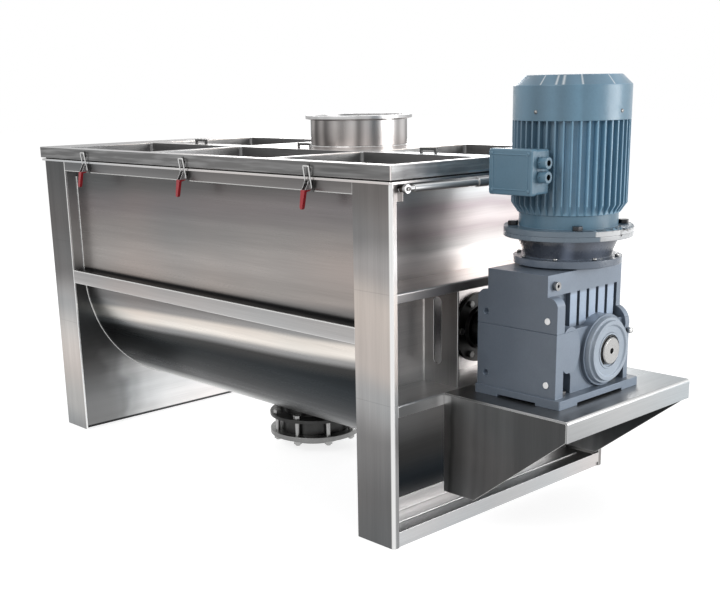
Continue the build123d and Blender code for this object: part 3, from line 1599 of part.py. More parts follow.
grip_y = y_side + side_projection
grip_top_z = grip_bottom_z + grip_height
bail_half = lever_width / 2 + free_gap + bail_wire
for number, x in enumerate(fitting_x, start=1):
    with BuildPart() as latch_lever:
        for side in (-1, 1):
            cheek_x = x + side * (lever_width - lever_wall) / 2
            with BuildSketch(Plane.YZ.offset(cheek_x - lever_wall / 2)):
                with BuildLine():
                    Polyline(
                        (-pivot_y + lever_shoulder, latch_pivot_z + 1),
                        (-bail_y + lever_knee, bail_z),
                        (-bail_y - lever_waist, bail_z - lever_shoulder),
                        (-grip_y + grip_thickness + grip_set_in, grip_top_z),
                        (-grip_y + grip_set_in, grip_top_z),
                        (-pivot_y - lever_shoulder, latch_pivot_z + 1),
                        close=True,
                    )
                make_face()
                with Locations((-pivot_y, latch_pivot_z)):
                    Circle(lever_boss_radius)
                with Locations((-pivot_y, latch_pivot_z)):
                    Circle(latch_pin_radius + running_gap, mode=Mode.SUBTRACT)
                with Locations((-bail_y, bail_z)):
                    Circle(bail_wire + running_gap, mode=Mode.SUBTRACT)
            extrude(amount=lever_wall)
        with BuildSketch(Plane.YZ.offset(x - lever_width / 2)):
            with BuildLine():
                Polyline(
                    (-grip_y + grip_thickness + grip_lean, grip_top_z + grip_set_in),
                    (-grip_y + grip_lean, grip_top_z + grip_set_in),
                    (-grip_y, grip_bottom_z + grip_lean),
                    (-grip_y, grip_bottom_z),
                    (-grip_y + grip_thickness, grip_bottom_z),
                    close=True,
                )
            make_face()
        extrude(amount=lever_width)
        fillet(
            latch_lever.edges().filter_by(Axis.Y).group_by(Axis.Z)[0], lever_width / 2 - lever_wall
        )
    latch_lever.part.label = f"latch_lever_{number}"
    export_step(latch_lever.part, f"parts/latch_lever_{number}.step")

    with BuildPart() as latch_bail:
        with BuildLine():
            bail_path = FilletPolyline(
                (x - lever_width / 2 + lever_wall, -bail_y, bail_z),
                (x - bail_half, -bail_y, bail_z),
                (x - bail_half, -bail_top_y, bail_top_z),
                (x + bail_half, -bail_top_y, bail_top_z),
                (x + bail_half, -bail_y, bail_z),
                (x + lever_width / 2 - lever_wall, -bail_y, bail_z),
                radius=bail_bend,
            )
        with BuildSketch(Plane(origin=bail_path @ 0, z_dir=bail_path % 0)):
            Circle(bail_wire)
        sweep()
    latch_bail.part.label = f"latch_bail_{number}"
    export_step(latch_bail.part, f"parts/latch_bail_{number}.step")

# Gas strut: cylinder on the frame's stud, rod and shroud towards the lid's tab
strut_run = Vector(0, strut_lid_y + strut_front_y, strut_lid_z - strut_front_z)
strut_length = strut_run.length
strut_plane = Plane(
    origin=(x_drive + strut_x, -strut_front_y, strut_front_z), x_dir=(1, 0, 0), z_dir=strut_run
)
shroud_end = strut_length - shroud_back_gap
cylinder_end = shroud_end - shroud_cap - shroud_clear
neck_start = strut_eye_radius - strut_eye_overlap
cylinder_start = neck_start + strut_neck
with BuildPart() as strut_cylinder:
    with BuildSketch(strut_plane.offset(neck_start)):
        Circle(strut_tube_radius - strut_neck_inset)
    extrude(amount=strut_neck)
    with BuildSketch(strut_plane.offset(cylinder_start)):
        Circle(strut_tube_radius)
    extrude(amount=cylinder_end - cylinder_start)
    with BuildSketch(strut_plane.offset(cylinder_start + strut_base_cap)):
        Circle(strut_tube_bore)
    extrude(amount=cylinder_end - strut_end_cap - cylinder_start - strut_base_cap, mode=Mode.SUBTRACT)
    with BuildSketch(strut_plane.offset(cylinder_end)):
        Circle(strut_rod_radius + running_gap)
    extrude(amount=-strut_end_cap, mode=Mode.SUBTRACT)
    with BuildSketch(Plane.YZ.offset(x_drive + strut_x - strut_eye_width / 2)):
        with Locations((-strut_front_y, strut_front_z)):
            Circle(strut_eye_radius)
    extrude(amount=strut_eye_width)
    with BuildSketch(Plane.YZ.offset(x_drive + strut_x - strut_eye_width / 2)):
        with Locations((-strut_front_y, strut_front_z)):
            Circle(strut_stud_radius + running_gap)
    extrude(amount=strut_eye_width, mode=Mode.SUBTRACT)
strut_cylinder.part.label = "strut_cylinder"
export_step(strut_cylinder.part, "parts/strut_cylinder.step")

shroud_start = strut_front_y - shroud_front_y
piston_start = cylinder_end - strut_end_cap - strut_piston - strut_stroke - strut_piston_rest
with BuildPart() as strut_rod:
    with BuildSketch(strut_plane.offset(shroud_start)):
        Circle(shroud_radius)
        Circle(shroud_bore, mode=Mode.SUBTRACT)
    extrude(amount=shroud_end - shroud_start)
    with BuildSketch(strut_plane.offset(shroud_end - shroud_cap)):
        Circle(shroud_radius)
    extrude(amount=shroud_cap)
    with BuildSketch(strut_plane.offset(piston_start)):
        Circle(strut_rod_radius)
    extrude(amount=strut_length - neck_start - piston_start)
    with BuildSketch(strut_plane.offset(piston_start)):
        Circle(strut_tube_bore - running_gap)
    extrude(amount=strut_piston)
    with BuildSketch(Plane.YZ.offset(x_drive + strut_x - strut_eye_width / 2)):
        with Locations((strut_lid_y, strut_lid_z)):
            Circle(strut_eye_radius)
    extrude(amount=strut_eye_width)
strut_rod.part.label = "strut_rod"
export_step(strut_rod.part, "parts/strut_rod.step")
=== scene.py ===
import json
from math import radians

import bmesh
import bpy
import numpy as np
from mathutils import Matrix, Vector


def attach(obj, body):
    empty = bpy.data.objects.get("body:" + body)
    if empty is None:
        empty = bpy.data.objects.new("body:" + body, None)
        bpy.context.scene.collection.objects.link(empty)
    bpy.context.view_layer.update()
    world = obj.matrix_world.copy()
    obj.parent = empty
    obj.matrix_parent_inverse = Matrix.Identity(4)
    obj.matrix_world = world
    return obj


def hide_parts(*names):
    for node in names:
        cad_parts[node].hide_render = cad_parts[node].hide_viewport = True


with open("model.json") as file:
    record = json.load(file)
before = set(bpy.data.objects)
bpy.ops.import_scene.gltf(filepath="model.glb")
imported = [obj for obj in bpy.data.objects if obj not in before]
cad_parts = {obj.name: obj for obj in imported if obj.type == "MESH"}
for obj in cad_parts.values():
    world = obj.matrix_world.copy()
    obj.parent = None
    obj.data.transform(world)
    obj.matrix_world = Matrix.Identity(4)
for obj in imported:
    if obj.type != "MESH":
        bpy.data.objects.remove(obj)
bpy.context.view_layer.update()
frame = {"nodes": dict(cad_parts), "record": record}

MM = 0.001
NODES = frame["nodes"]
BODY_OF = {
    node: body
    for body, members in frame["record"]["behaviour"]["bodies"].items()
    for node in members
}

# Places on the machine, in millimetres
SHAFT_Z = 535
TROUGH_FAR_END, TROUGH_DRIVE_END = -950, 539
TROUGH_Z = 595
TROUGH_OUTSIDE = 455
TROUGH_MIDDLE = 453
OUTLET_X, NECK_RADIUS = -205.5, 106
MOTOR_X, MOTOR_Y = 878.5, -9
COWL_RADIUS = 156
ADAPTER_FOOT_TOP = 787
GRIP_TOP, GRIP_LENGTH = 973, 52
LID_TOP = 1049
INLET_X, INLET_Y, INLET_RADIUS = -118.5, 160, 164


# Materials


def triple(value):
    """A number as three equal numbers, and three numbers as they are."""
    return (value,) * 3 if isinstance(value, (int, float)) else value


class Finish:
    """A Principled material with short ways to add the patterns that metal and paint show."""

    def __init__(self, name, colour, roughness, metallic=0.0):
        self.material = bpy.data.materials.new(name)
        self.material.use_nodes = True
        self.tree = self.material.node_tree
        self.shader = self.tree.nodes["Principled BSDF"]
        self.shader.inputs["Metallic"].default_value = metallic
        self.shader.inputs["Roughness"].default_value = roughness
        self.shader.inputs["Base Color"].default_value = (*triple(colour), 1)
        self.place = self.add("ShaderNodeTexCoord").outputs["Object"]
        self.facing = self.add("ShaderNodeTexCoord").outputs["Normal"]
        self.colour = self.flat(colour)
        self.rough = roughness
        self.height = None

    def add(self, kind, **values):
        """A new node with the given values."""
        node = self.tree.nodes.new(kind)
        for key, value in values.items():
            setattr(node, key, value)
        return node

    def link(self, source, target):
        """Joins an output to an input."""
        self.tree.links.new(source, target)

    def maths(self, operation, *values):
        """The result of a maths node whose inputs are sockets or numbers."""
        node = self.add("ShaderNodeMath", operation=operation)
        for slot, value in zip(node.inputs, values):
            if isinstance(value, bpy.types.NodeSocket):
                self.link(value, slot)
            else:
                slot.default_value = value
        return node.outputs[0]

    def along(self, direction, source):
        """How far a vector reaches along a direction."""
        node = self.add("ShaderNodeVectorMath", operation="DOT_PRODUCT")
        self.link(source, node.inputs[0])
        node.inputs[1].default_value = direction
        return node.outputs["Value"]

    def flat(self, colour):
        """A colour as a socket."""
        node = self.add("ShaderNodeRGB")
        node.outputs[0].default_value = (*triple(colour), 1)
        return node.outputs[0]

    def sized(self, size):
        """Object coordinates divided by a pattern's size, or its size along each axis, in metres."""
        node = self.add("ShaderNodeMapping")
        node.inputs["Scale"].default_value = [1 / s for s in triple(size)]
        self.link(self.place, node.inputs["Vector"])
        return node.outputs[0]

    def noise(self, size, detail=3.0, low=0.35, high=0.65):
        """Noise whose spots have the given size. Its values from low to high become 0 to 1."""
        node = self.add("ShaderNodeTexNoise")
        node.inputs["Scale"].default_value = 1.0
        node.inputs["Detail"].default_value = detail
        self.link(self.sized(size), node.inputs["Vector"])
        return self.spread(node.outputs[0], low, high)

    def spread(self, value, low, high, to_low=0.0, to_high=1.0):
        """The value moved from the range low to high on to another range, and held there."""
        node = self.add("ShaderNodeMapRange")
        limits = {"From Min": low, "From Max": high, "To Min": to_low, "To Max": to_high}
        for key, number in limits.items():
            node.inputs[key].default_value = number
        self.link(value, node.inputs["Value"])
        return node.outputs[0]

    def axis(self, which, source=None):
        """One component of a vector, the object's place unless another is given."""
        node = self.add("ShaderNodeSeparateXYZ")
        self.link(source or self.place, node.inputs[0])
        return node.outputs[which]

    def ramp(self, which, low, high, to_low=0.0, to_high=1.0):
        """Goes from to_low to to_high as the place along an axis goes from low to high."""
        return self.spread(self.axis(which), low, high, to_low, to_high)

    def blend(self, kind, share, colour, most):
        """Blends a colour into the surface's colour, by the share socket times most."""
        mix = self.add("ShaderNodeMix", data_type="RGBA", blend_type=kind)
        self.link(self.maths("MULTIPLY", share, most), mix.inputs["Factor"])
        self.link(self.colour, mix.inputs[6])
        mix.inputs[7].default_value = (*triple(colour), 1)
        self.colour = mix.outputs[2]

    def tint(self, share, colour, most=1.0):
        """Mixes a colour over the surface, by the share socket times most."""
        self.blend("MIX", share, colour, most)

    def scale(self, share, factor, most=1.0):
        """Multiplies the colour by a factor per channel, by the share socket times most."""
        self.blend("MULTIPLY", share, factor, most)

    def around(self, x, y):
        """Angle round an upright axis through x, y."""
        away_x = self.maths("SUBTRACT", self.axis("X"), x)
        away_y = self.maths("SUBTRACT", self.axis("Y"), y)
        return self.maths("ARCTAN2", away_y, away_x)

    def near(self, line, centre, radius):
        """1 nearer than radius to a line through centre along an axis, 0 beyond it."""
        away = self.add("ShaderNodeVectorMath", operation="SUBTRACT")
        self.link(self.place, away.inputs[0])
        away.inputs[1].default_value = centre
        across = self.add("ShaderNodeVectorMath", operation="MULTIPLY")
        self.link(away.outputs[0], across.inputs[0])
        across.inputs[1].default_value = [float(letter != line) for letter in "XYZ"]
        length = self.add("ShaderNodeVectorMath", operation="LENGTH")
        self.link(across.outputs[0], length.inputs[0])
        return self.spread(length.outputs["Value"], radius + 0.0002, radius - 0.0002)

    def within(self, which, low, high, edge=0.0006):
        """1 where the place along an axis is between low and high, 0 elsewhere."""
        place = self.axis(which)
        return self.both(
            self.spread(place, low - edge, low + edge), self.spread(place, high + edge, high - edge)
        )

    def both(self, first, second):
        """The product of two shares."""
        return self.maths("MULTIPLY", first, second)

    def turned_to(self, direction, low=0.8, high=0.96):
        """1 where the surface faces a direction, 0 where it faces well away from it."""
        return self.spread(self.along(direction, self.facing), low, high)

    def bends(self):
        """1 on rounded edges and bends, 0 on faces square to the axes."""
        node = self.add("ShaderNodeVectorMath", operation="ABSOLUTE")
        self.link(self.facing, node.inputs[0])
        most = self.axis("X", node.outputs[0])
        for which in ("Y", "Z"):
            most = self.maths("MAXIMUM", most, self.axis(which, node.outputs[0]))
        return self.spread(most, 0.985, 0.86)

    def shades(self, which, stops, wobble=None):
        """Colour by place along an axis or a direction. Stops are (place in metres, colour). A wobble
        of (size, metres) sways the place by noise."""
        place = self.axis(which) if isinstance(which, str) else self.along(which, self.place)
        if wobble:
            size, amount = wobble
            sway = self.spread(self.noise(size, 2.0), 0, 1, -amount, amount)
            place = self.maths("ADD", place, sway)
        first, last = stops[0][0], stops[-1][0]
        ramp = self.add("ShaderNodeValToRGB")
        ramp.color_ramp.interpolation = "EASE"
        while len(ramp.color_ramp.elements) < len(stops):
            ramp.color_ramp.elements.new(0.5)
        for element, (spot, colour) in zip(ramp.color_ramp.elements, stops):
            element.position = (spot - first) / (last - first)
            element.color = (*triple(colour), 1)
        self.link(self.spread(place, first, last), ramp.inputs["Fac"])
        return ramp.outputs["Color"]

    def lean(self, direction, low, high):
        """Paints light: multiplies the colour by low to high, as the surface turns towards a direction.
        """
        share = self.spread(self.along(direction, self.facing), -0.6, 0.6, low, high)
        grey = self.add("ShaderNodeCombineColor")
        for channel in range(3):
            self.link(share, grey.inputs[channel])
        self.multiply(grey.outputs[0])

    def multiply(self, grey):
        """Multiplies the colour by a colour socket."""
        mix = self.add("ShaderNodeMix", data_type="RGBA", blend_type="MULTIPLY")
        mix.inputs["Factor"].default_value = 1.0
        self.link(self.colour, mix.inputs[6])
        self.link(grey, mix.inputs[7])
        self.colour = mix.outputs[2]

    def roughen(self, share, change):
        """Adds change times the share socket to the roughness."""
        self.rough = self.maths("MULTIPLY_ADD", share, change, self.rough)

    def raise_by(self, share, metres):
        """Bumps the surface by metres times the share socket."""
        node = self.add("ShaderNodeBump")
        node.inputs["Distance"].default_value = metres
        node.inputs["Strength"].default_value = 1.0
        self.link(share, node.inputs["Height"])
        if self.height is not None:
            self.link(self.height, node.inputs["Normal"])
        self.height = node.outputs[0]

    def done(self):
        """Joins what was built to the shader and gives the material."""
        self.link(self.colour, self.shader.inputs["Base Color"])
        if isinstance(self.rough, bpy.types.NodeSocket):
            self.link(self.rough, self.shader.inputs["Roughness"])
        if self.height is not None:
            self.link(self.height, self.shader.inputs["Normal"])
        return self.material


# Directions. Across runs level from left to right in the camera's picture; painted reflection
# bands follow it. Lamp side points to the lamps, for painted light, and the corners are where
# bends get a painted highlight.
RIGHT, FRONT, UP, DOWN = (1, 0, 0), (0, -1, 0), (0, 0, 1), (0, 0, -1)
ACROSS = (0.688, 0.725, 0.0)
LAMP_SIDE = (0.45, 0.0, 0.6)
FAR_CORNER, NEAR_CORNER = (-0.707, -0.707, 0.0), (0.707, -0.707, 0.0)

# Casts of the clouds on steel, and colours that several pieces share
WARM = (1.07, 0.985, 0.95)
COOL = (0.837, 0.9, 0.936)
MOTOR_BLUE = (0.105, 0.2, 0.275)
FLANGE_GREY = (0.15, 0.195, 0.24)


def sheet_steel(
    name, roughness, grain_axis, band_axis, stops, wobble=None, faces=(), edges=0.75, cloud=1.0
):
    """Stainless sheet brushed along one axis. Its broad light and dark bands are painted reflections
    and shade; they follow each other along another axis or a direction, with stops and wobble as in
    Finish.shades. Each of the faces is (direction, factor) and paints the sheet lighter or darker
    where it is turned that way, as painted light and shade. Edges is how bright the painted
    highlights on bends and rounded edges are, cloud how strong the warm and cool clouds are."""
    finish = Finish(name, 0.36, roughness, metallic=1.0)
    finish.colour = finish.shades(band_axis, stops, wobble)
    fine, broad = [0.0012] * 3, [0.03] * 3
    lengthwise = "XYZ".index(grain_axis)
    fine[lengthwise], broad[lengthwise] = 0.15, 0.9
    grain = finish.noise(fine, 2.0, 0.25, 0.75)
    streak = finish.noise(broad, 2.0, 0.3, 0.7)
    finish.scale(finish.noise((0.8, 0.6, 0.3), 1.0, 0.35, 0.7), WARM, cloud)
    finish.scale(finish.noise((0.5, 0.7, 0.4), 1.0, 0.4, 0.75), COOL, cloud)
    finish.scale(streak, 0.86, 0.8)
    finish.scale(grain, 0.88)
    # Painted light and shade by which way each face is turned
    for direction, factor in faces:
        finish.scale(finish.turned_to(direction), factor)
    # Painted highlight on bends and rounded edges
    if edges:
        finish.tint(finish.bends(), (0.8, 0.8, 0.79), edges)
    finish.roughen(grain, 0.06)
    finish.roughen(streak, 0.05)
    finish.raise_by(grain, 0.000008)
    finish.shader.inputs["Specular Tint"].default_value = (0.75, 0.75, 0.75, 1)
    return finish


def turned_steel(name, grey, roughness, stain=0.25):
    """Machined or bright steel with fine tool marks, faint handling stains, and painted light that
    makes the side turned to the lamps lighter.
    """
    finish = Finish(name, (grey, grey, grey * 0.99), roughness, metallic=1.0)
    finish.scale(finish.noise(0.03), 0.65, stain)
    finish.scale(finish.noise(0.0015, 2.0), 0.85, 0.5)
    # Painted light: lighter on the side turned to the lamps
    finish.lean(LAMP_SIDE, 0.75, 1.3)
    finish.roughen(finish.noise(0.006), 0.1)
    finish.raise_by(finish.noise(0.0008, 2.0), 0.00001)
    return finish.done()


def enamel(name, colour, roughness, grain_size, faces=(), painted_top_light=0.2):
    """Enamel on metal: orange-peel surface, uneven coats, and painted light that makes upward faces a
    little lighter. Grain size is that of the orange peel, in metres. Faces are as in sheet_steel,
    painted light and shade, and rounded edges get a painted highlight."""
    finish = Finish(name, colour, roughness)
    finish.scale(finish.noise((0.16, 0.16, 0.22), 2.0), 0.85, 0.6)
    finish.scale(finish.noise(0.05, 4.0, 0.5, 0.8), 1.2, 0.4)
    finish.scale(finish.noise(0.006, 3.0, 0.45, 0.7), 0.9, 0.5)
    # Painted light: upward faces a little lighter, as if lit from above
    upward = finish.spread(finish.axis("Z", finish.facing), 0.35, 1.0)
    finish.tint(upward, [c * 1.3 + 0.03 for c in colour], painted_top_light)
    # Painted light and shade by which way each face is turned
    for direction, factor in faces:
        finish.scale(finish.turned_to(direction, 0.3, 0.95), factor)
    # Painted highlight on rounded edges
    finish.scale(finish.bends(), 1.35, 0.6)
    finish.roughen(finish.noise(0.03), 0.1)
    finish.raise_by(finish.noise(grain_size), 0.00008)
    finish.shader.inputs["Coat Weight"].default_value = 0.2
    finish.shader.inputs["Coat Roughness"].default_value = 0.2
    return finish


def moulded(name, colour, roughness):
    """Moulded plastic or rubber with a fine eroded texture."""
    finish = Finish(name, colour, roughness)
    finish.scale(finish.noise(0.03), 0.65, 0.5)
    finish.roughen(finish.noise(0.008), 0.15)
    finish.raise_by(finish.noise(0.0012), 0.00006)
    return finish.done()


# Painted reflections and shade in broad light and dark bands along an axis or direction: place in
# metres, linear grey or colour. Those of the cowl multiply its enamel.
trough_stops = [
    (0.11, (0.020, 0.023, 0.026)),
    (0.22, (0.0085, 0.012, 0.0152)),
    (0.40, (0.0115, 0.0155, 0.0185)),
    (0.44, 0.05),
    (0.462, 0.34),
    (0.485, (0.92, 0.88, 0.82)),
    (0.51, (0.78, 0.735, 0.68)),
    (0.53, 0.30),
    (0.56, 0.20),
    (0.60, 0.20),
    (0.635, (0.33, 0.31, 0.295)),
    (0.72, (0.38, 0.352, 0.336)),
    (0.80, (0.29, 0.272, 0.262)),
    (0.89, (0.22, 0.203, 0.203)),
    (0.965, 0.13),
    (1.02, 0.13),
]
bay_stops = [
    (0.04, 0.12),
    (0.13, (0.020, 0.025, 0.030)),
    (0.22, 0.035),
    (0.34, 0.12),
    (0.402, 0.18),
    (0.414, 0.8),
    (0.47, 0.95),
    (0.62, 0.95),
    (0.705, 0.8),
    (0.722, 0.98),
    (0.765, 0.98),
    (0.785, 0.62),
    (0.83, (0.46, 0.42, 0.43)),
    (0.86, (0.62, 0.58, 0.58)),
    (0.90, (0.46, 0.41, 0.42)),
    (0.94, 0.62),
    (0.985, 0.26),
]
leg_stops = [
    (0.0, 0.155),
    (0.15, 0.165),
    (0.32, 0.215),
    (0.43, 0.38),
    (0.52, (0.51, 0.465, 0.435)),
    (0.66, (0.53, 0.50, 0.47)),
    (0.76, 0.35),
    (0.85, 0.22),
    (0.98, 0.15),
]
far_leg_stops = [
    (0.0, 0.34),
    (0.12, (0.52, 0.485, 0.46)),
    (0.34, (0.63, 0.59, 0.56)),
    (0.50, 0.39),
    (0.64, 0.17),
    (0.80, 0.13),
    (0.99, 0.11),
]
far_plate_stops = [
    (-0.50, 0.10),
    (-0.42, 0.12),
    (-0.37, 0.24),
    (-0.31, 0.5),
    (-0.22, 0.7),
    (-0.12, 0.85),
    (0.10, 0.92),
    (0.45, 0.5),
]
gusset_stops = [
    (0.683, 0.75),
    (0.697, 0.6),
    (0.705, 0.32),
    (0.725, 0.48),
    (0.77, 0.40),
    (0.80, 0.24),
    (0.8337, 0.145),
    (0.88, 0.11),
    (0.95, 0.075),
    (1.10, 0.07),
]
inlet_stops = [
    (-0.132, 0.10),
    (-0.118, 0.40),
    (-0.108, 0.14),
    (-0.09, 0.38),
    (-0.075, 0.16),
    (-0.045, 0.46),
    (-0.02, 0.28),
    (0.015, 0.60),
    (0.035, 0.26),
    (0.06, 0.62),
    (0.095, 0.34),
    (0.13, 0.8),
    (0.165, 0.42),
    (0.182, 0.75),
    (0.2, 0.12),
]
cowl_stops = [
    (0.43, 0.75),
    (0.46, 1.15),
    (0.485, 0.85),
    (0.52, 1.15),
    (0.545, 0.9),
    (0.585, 1.2),
    (0.60, 0.95),
    (0.64, 1.1),
    (0.69, 1.35),
    (0.72, 1.2),
    (0.75, 1.0),
]


def far_plate_finish():
    """Far end plate with painted light and shade: dark beside the leg, a painted shadow along its foot,
    painted light low down by the leg and towards the middle, grey beside the trough's wall."""
    wobble = ((0.3, 0.22, 0.13), 0.03)
    finish = sheet_steel("far end plate sheet", 0.3, "Y", "Y", far_plate_stops, wobble, edges=0)
    # Painted light low down beside the leg
    painted_light_by_leg = finish.both(finish.ramp("Z", 0.28, 0.1), finish.ramp("Y", -0.28, -0.38))
    finish.tint(painted_light_by_leg, 0.4, 0.45)
    beside_trough = finish.both(finish.within("Z", 0.6, 1.2), finish.within("Y", -0.6, -0.4))
    finish.tint(beside_trough, 0.5, 0.9)
    # Painted shadow along the foot, where the bottom flange is in shade
    foot = finish.within("Z", -0.1, 0.0145, 0.001)
    finish.tint(foot, (0.02, 0.02, 0.021), 0.95)
    return finish.done()


def trough_finish():
    """Trough sheet with painted reflections: bands that sink a little towards the far end, a painted
    shadow line over the rail, a painted light line along the bottom, and an even grey inside."""
    sinking, wobble = (-0.047, 0.0, 1.0), ((1.8, 0.6, 0.6), 0.008)
    finish = sheet_steel("trough sheet", 0.24, "X", sinking, trough_stops, wobble, edges=0)
    # Painted shadow over the rail
    painted_shadow_over_rail = finish.within("Z", 0.60, 0.619, 0.003)
    finish.tint(painted_shadow_over_rail, (0.035, 0.035, 0.036), 0.95)
    # Painted shade and light in the dark lower zone: darker towards the far end, lighter towards the
    # drive end
    under = finish.ramp("Z", 0.44, 0.38)
    finish.scale(finish.both(under, finish.ramp("X", -0.2, -0.6)), (0.68, 0.80, 0.86))
    finish.scale(finish.both(under, finish.ramp("X", -0.2, 0.2)), (1.5, 1.55, 1.6))
    # Painted reflected light along the bottom edge
    bottom = finish.both(finish.ramp("Z", 0.25, 0.19), finish.ramp("X", -0.05, -0.35, 0.25, 1.0))
    finish.tint(bottom, (0.95, 0.95, 0.94), 0.95)
    middle, height = TROUGH_MIDDLE * MM, TROUGH_Z * MM
    round_part = finish.near("X", (0, 0, height), middle)
    upright_part = finish.both(finish.within("Y", -middle, middle), finish.within("Z", height - MM, 2))
    for inside in (round_part, upright_part):
        finish.tint(inside, (0.42, 0.415, 0.41), 0.9)
    return finish.done()


def leg_finish(name, stops, corner):
    """Leg sheet with painted light bands, two faint seams, a painted highlight along its bend and
    another where it meets the end plate. Its return is painted lighter, with a dark stripe."""
    finish = sheet_steel(name, 0.3, "Z", "Z", stops, (0.5, 0.03), edges=0)
    for seam in (0.4115, 0.7145):
        finish.scale(finish.within("Z", seam, seam + 0.0015), 0.8)
    # Painted highlight along the bend
    finish.tint(finish.turned_to(corner, 0.74, 0.92), (0.74, 0.74, 0.735), 0.95)
    # Painted highlight where the leg meets the end plate
    joint_highlight = finish.within("X", -0.9548, -0.9505)
    finish.tint(joint_highlight, (0.8, 0.8, 0.79), 0.9)
    # The return painted lighter, as light falls on it
    leg_return = finish.turned_to(RIGHT, 0.97, 0.999)
    finish.scale(leg_return, 2.0)
    stripe = finish.within("Y", -0.476, -0.4575, 0.0015)
    finish.scale(finish.both(leg_return, stripe), 0.4)
    return finish.done()


def rail_finish():
    """Rail sheet with painted shade: dark on top where it meets the trough, with spots left by stitch
    welding.
    """
    finish = sheet_steel("rail sheet", 0.3, "X", "Z", [(0.56, 0.53), (0.585, 0.41), (0.62, 0.37)])
    # Painted shade: the top dark where it meets the trough
    top = finish.turned_to(UP, 0.85, 0.97)
    finish.tint(top, (0.03, 0.03, 0.032), 0.95)
    spots = finish.noise((0.12, 0.02, 0.1), 1.0, 0.55, 0.7)
    finish.tint(finish.both(top, spots), 0.14, 0.7)
    return finish.done()


def bracket_finish():
    """Stiffener sheet painted as in shade, with a painted highlight line where it is welded to the end
    plate.
    """
    stops = [(0.41, 0.42), (0.5, 0.2), (0.7, 0.17)]
    # Painted light on the end face, painted shade on the front
    shaded = ((RIGHT, 4.0), (FRONT, 0.85))
    finish = sheet_steel("bracket sheet", 0.3, "Z", "Z", stops, faces=shaded)
    # Painted highlight along the welded edge
    welded_edge_highlight = finish.within("X", 0.54, 0.5495, 0.001)
    finish.tint(welded_edge_highlight, (0.8, 0.8, 0.79), 0.9)
    return finish.done()


def lid_finish():
    """Polished lid sheet with painted light, shade and reflections: light on top, darker round its rim
    and down in the pressed pans, lighter again on the pans' far walls, on bends and underneath."""
    stops = [(-1.1, 0.44), (-0.6, 0.55), (0.0, 0.75), (0.69, 0.9)]
    wobble = ((0.6, 0.3, 0.3), 0.1)
    finish = sheet_steel("lid sheet", 0.26, "X", "X", stops, wobble, edges=0, cloud=1.2)
    light_patches = finish.noise((0.16, 0.3, 0.01), 2.0, 0.45, 0.7)
    # Painted shade: the front rim dark, with lighter patches, darker towards the drive end
    rim = finish.turned_to(FRONT, 0.85, 0.97)
    finish.tint(rim, 0.13, 0.95)
    finish.tint(finish.both(rim, light_patches), 0.34, 0.6)
    finish.scale(finish.both(rim, finish.ramp("X", 0.2, 0.5)), 0.75)
    # Painted reflection: the end face grey, with painted glints
    end = finish.turned_to(RIGHT, 0.85, 0.97)
    finish.tint(end, (0.27, 0.27, 0.275), 0.9)
    glints = finish.noise((0.3, 0.14, 0.012), 2.0, 0.45, 0.7)
    finish.tint(finish.both(end, glints), 0.7, 0.6)
    # Painted shade near the front of the end face, painted light towards its middle
    finish.scale(finish.both(end, finish.ramp("Y", -0.36, -0.46)), 0.4)
    finish.scale(finish.both(end, finish.ramp("Y", -0.36, -0.2)), (2.6, 2.4, 2.2))
    # Painted shade down in the pressed pans, with lighter bends
    in_width = finish.within("Y", -0.486, 0.486, 0.001)
    in_length = finish.within("X", -1.088, 0.676, 0.001)
    below_top = finish.within("Z", 0.5, LID_TOP * MM - 0.0028, 0.0012)
    pans = finish.both(finish.both(in_width, in_length), below_top)
    finish.tint(pans, (0.22, 0.22, 0.222), 0.93)
    finish.tint(finish.both(pans, finish.bends()), 0.3, 0.8)
    # Painted light on the pans' far walls
    far_walls = finish.both(pans, finish.turned_to(RIGHT, 0.9, 0.99))
    finish.tint(finish.both(far_walls, finish.noise((1, 0.25, 0.05), 1.0)), 0.45, 0.7)
    # Painted highlight along the top edges
    top_edges = finish.both(finish.bends(), finish.within("Z", LID_TOP * MM - 0.0026, 1.2))
    finish.tint(top_edges, 0.75, 0.8)
    finish.tint(finish.turned_to(DOWN, 0.8, 0.95), 0.4, 0.85)
    return finish.done()


def inlet_finish():
    """Spun tube with painted reflections: soft upright bands, a painted highlight on the rolled rim and
    a darker foot, painted shade.
    """
    finish = sheet_steel("inlet sheet", 0.25, "Z", ACROSS, inlet_stops, (0.3, 0.004), edges=0)
    # Painted highlight on the rolled rim
    rim = finish.within("Z", 1.134, 1.2)
    finish.tint(rim, 0.6, 0.8)
    # Painted shade on the foot, where the tube meets the lid
    foot = finish.within("Z", LID_TOP * MM, LID_TOP * MM + 0.004, 0.002)
    finish.scale(foot, 0.6)
    return finish.done()


def adapter_finish():
    """Dark cone with a painted sheen, on a foot in the gear unit's enamel, under a flange in the
    motor's grey whose rim has a painted sheen on one side."""
    finish = enamel("adapter enamel", (0.075, 0.088, 0.115), 0.24, 0.002, painted_top_light=0.05)
    # Painted sheen in upright bands across the cone
    sheen_stops = [(0.46, 0.4), (0.55, 1.0), (0.575, 2.6), (0.60, 1.1), (0.66, 1.6), (0.72, 0.7)]
    finish.multiply(finish.shades(ACROSS, sheen_stops))
    foot = finish.within("Z", 0.5, ADAPTER_FOOT_TOP * MM + 0.0015)
    finish.tint(foot, (0.125, 0.155, 0.2))
    flange = finish.within("Z", 0.8405, 1.0)
    finish.tint(flange, FLANGE_GREY)
    # Painted sheen on one side of the flange's rim
    sheen_patch = finish.both(finish.within("X", 1.036, 2.0, 0.001), finish.within("Z", 0.842, 0.86))
    finish.tint(sheen_patch, (0.6, 0.61, 0.62), 0.9)
    return finish.done()


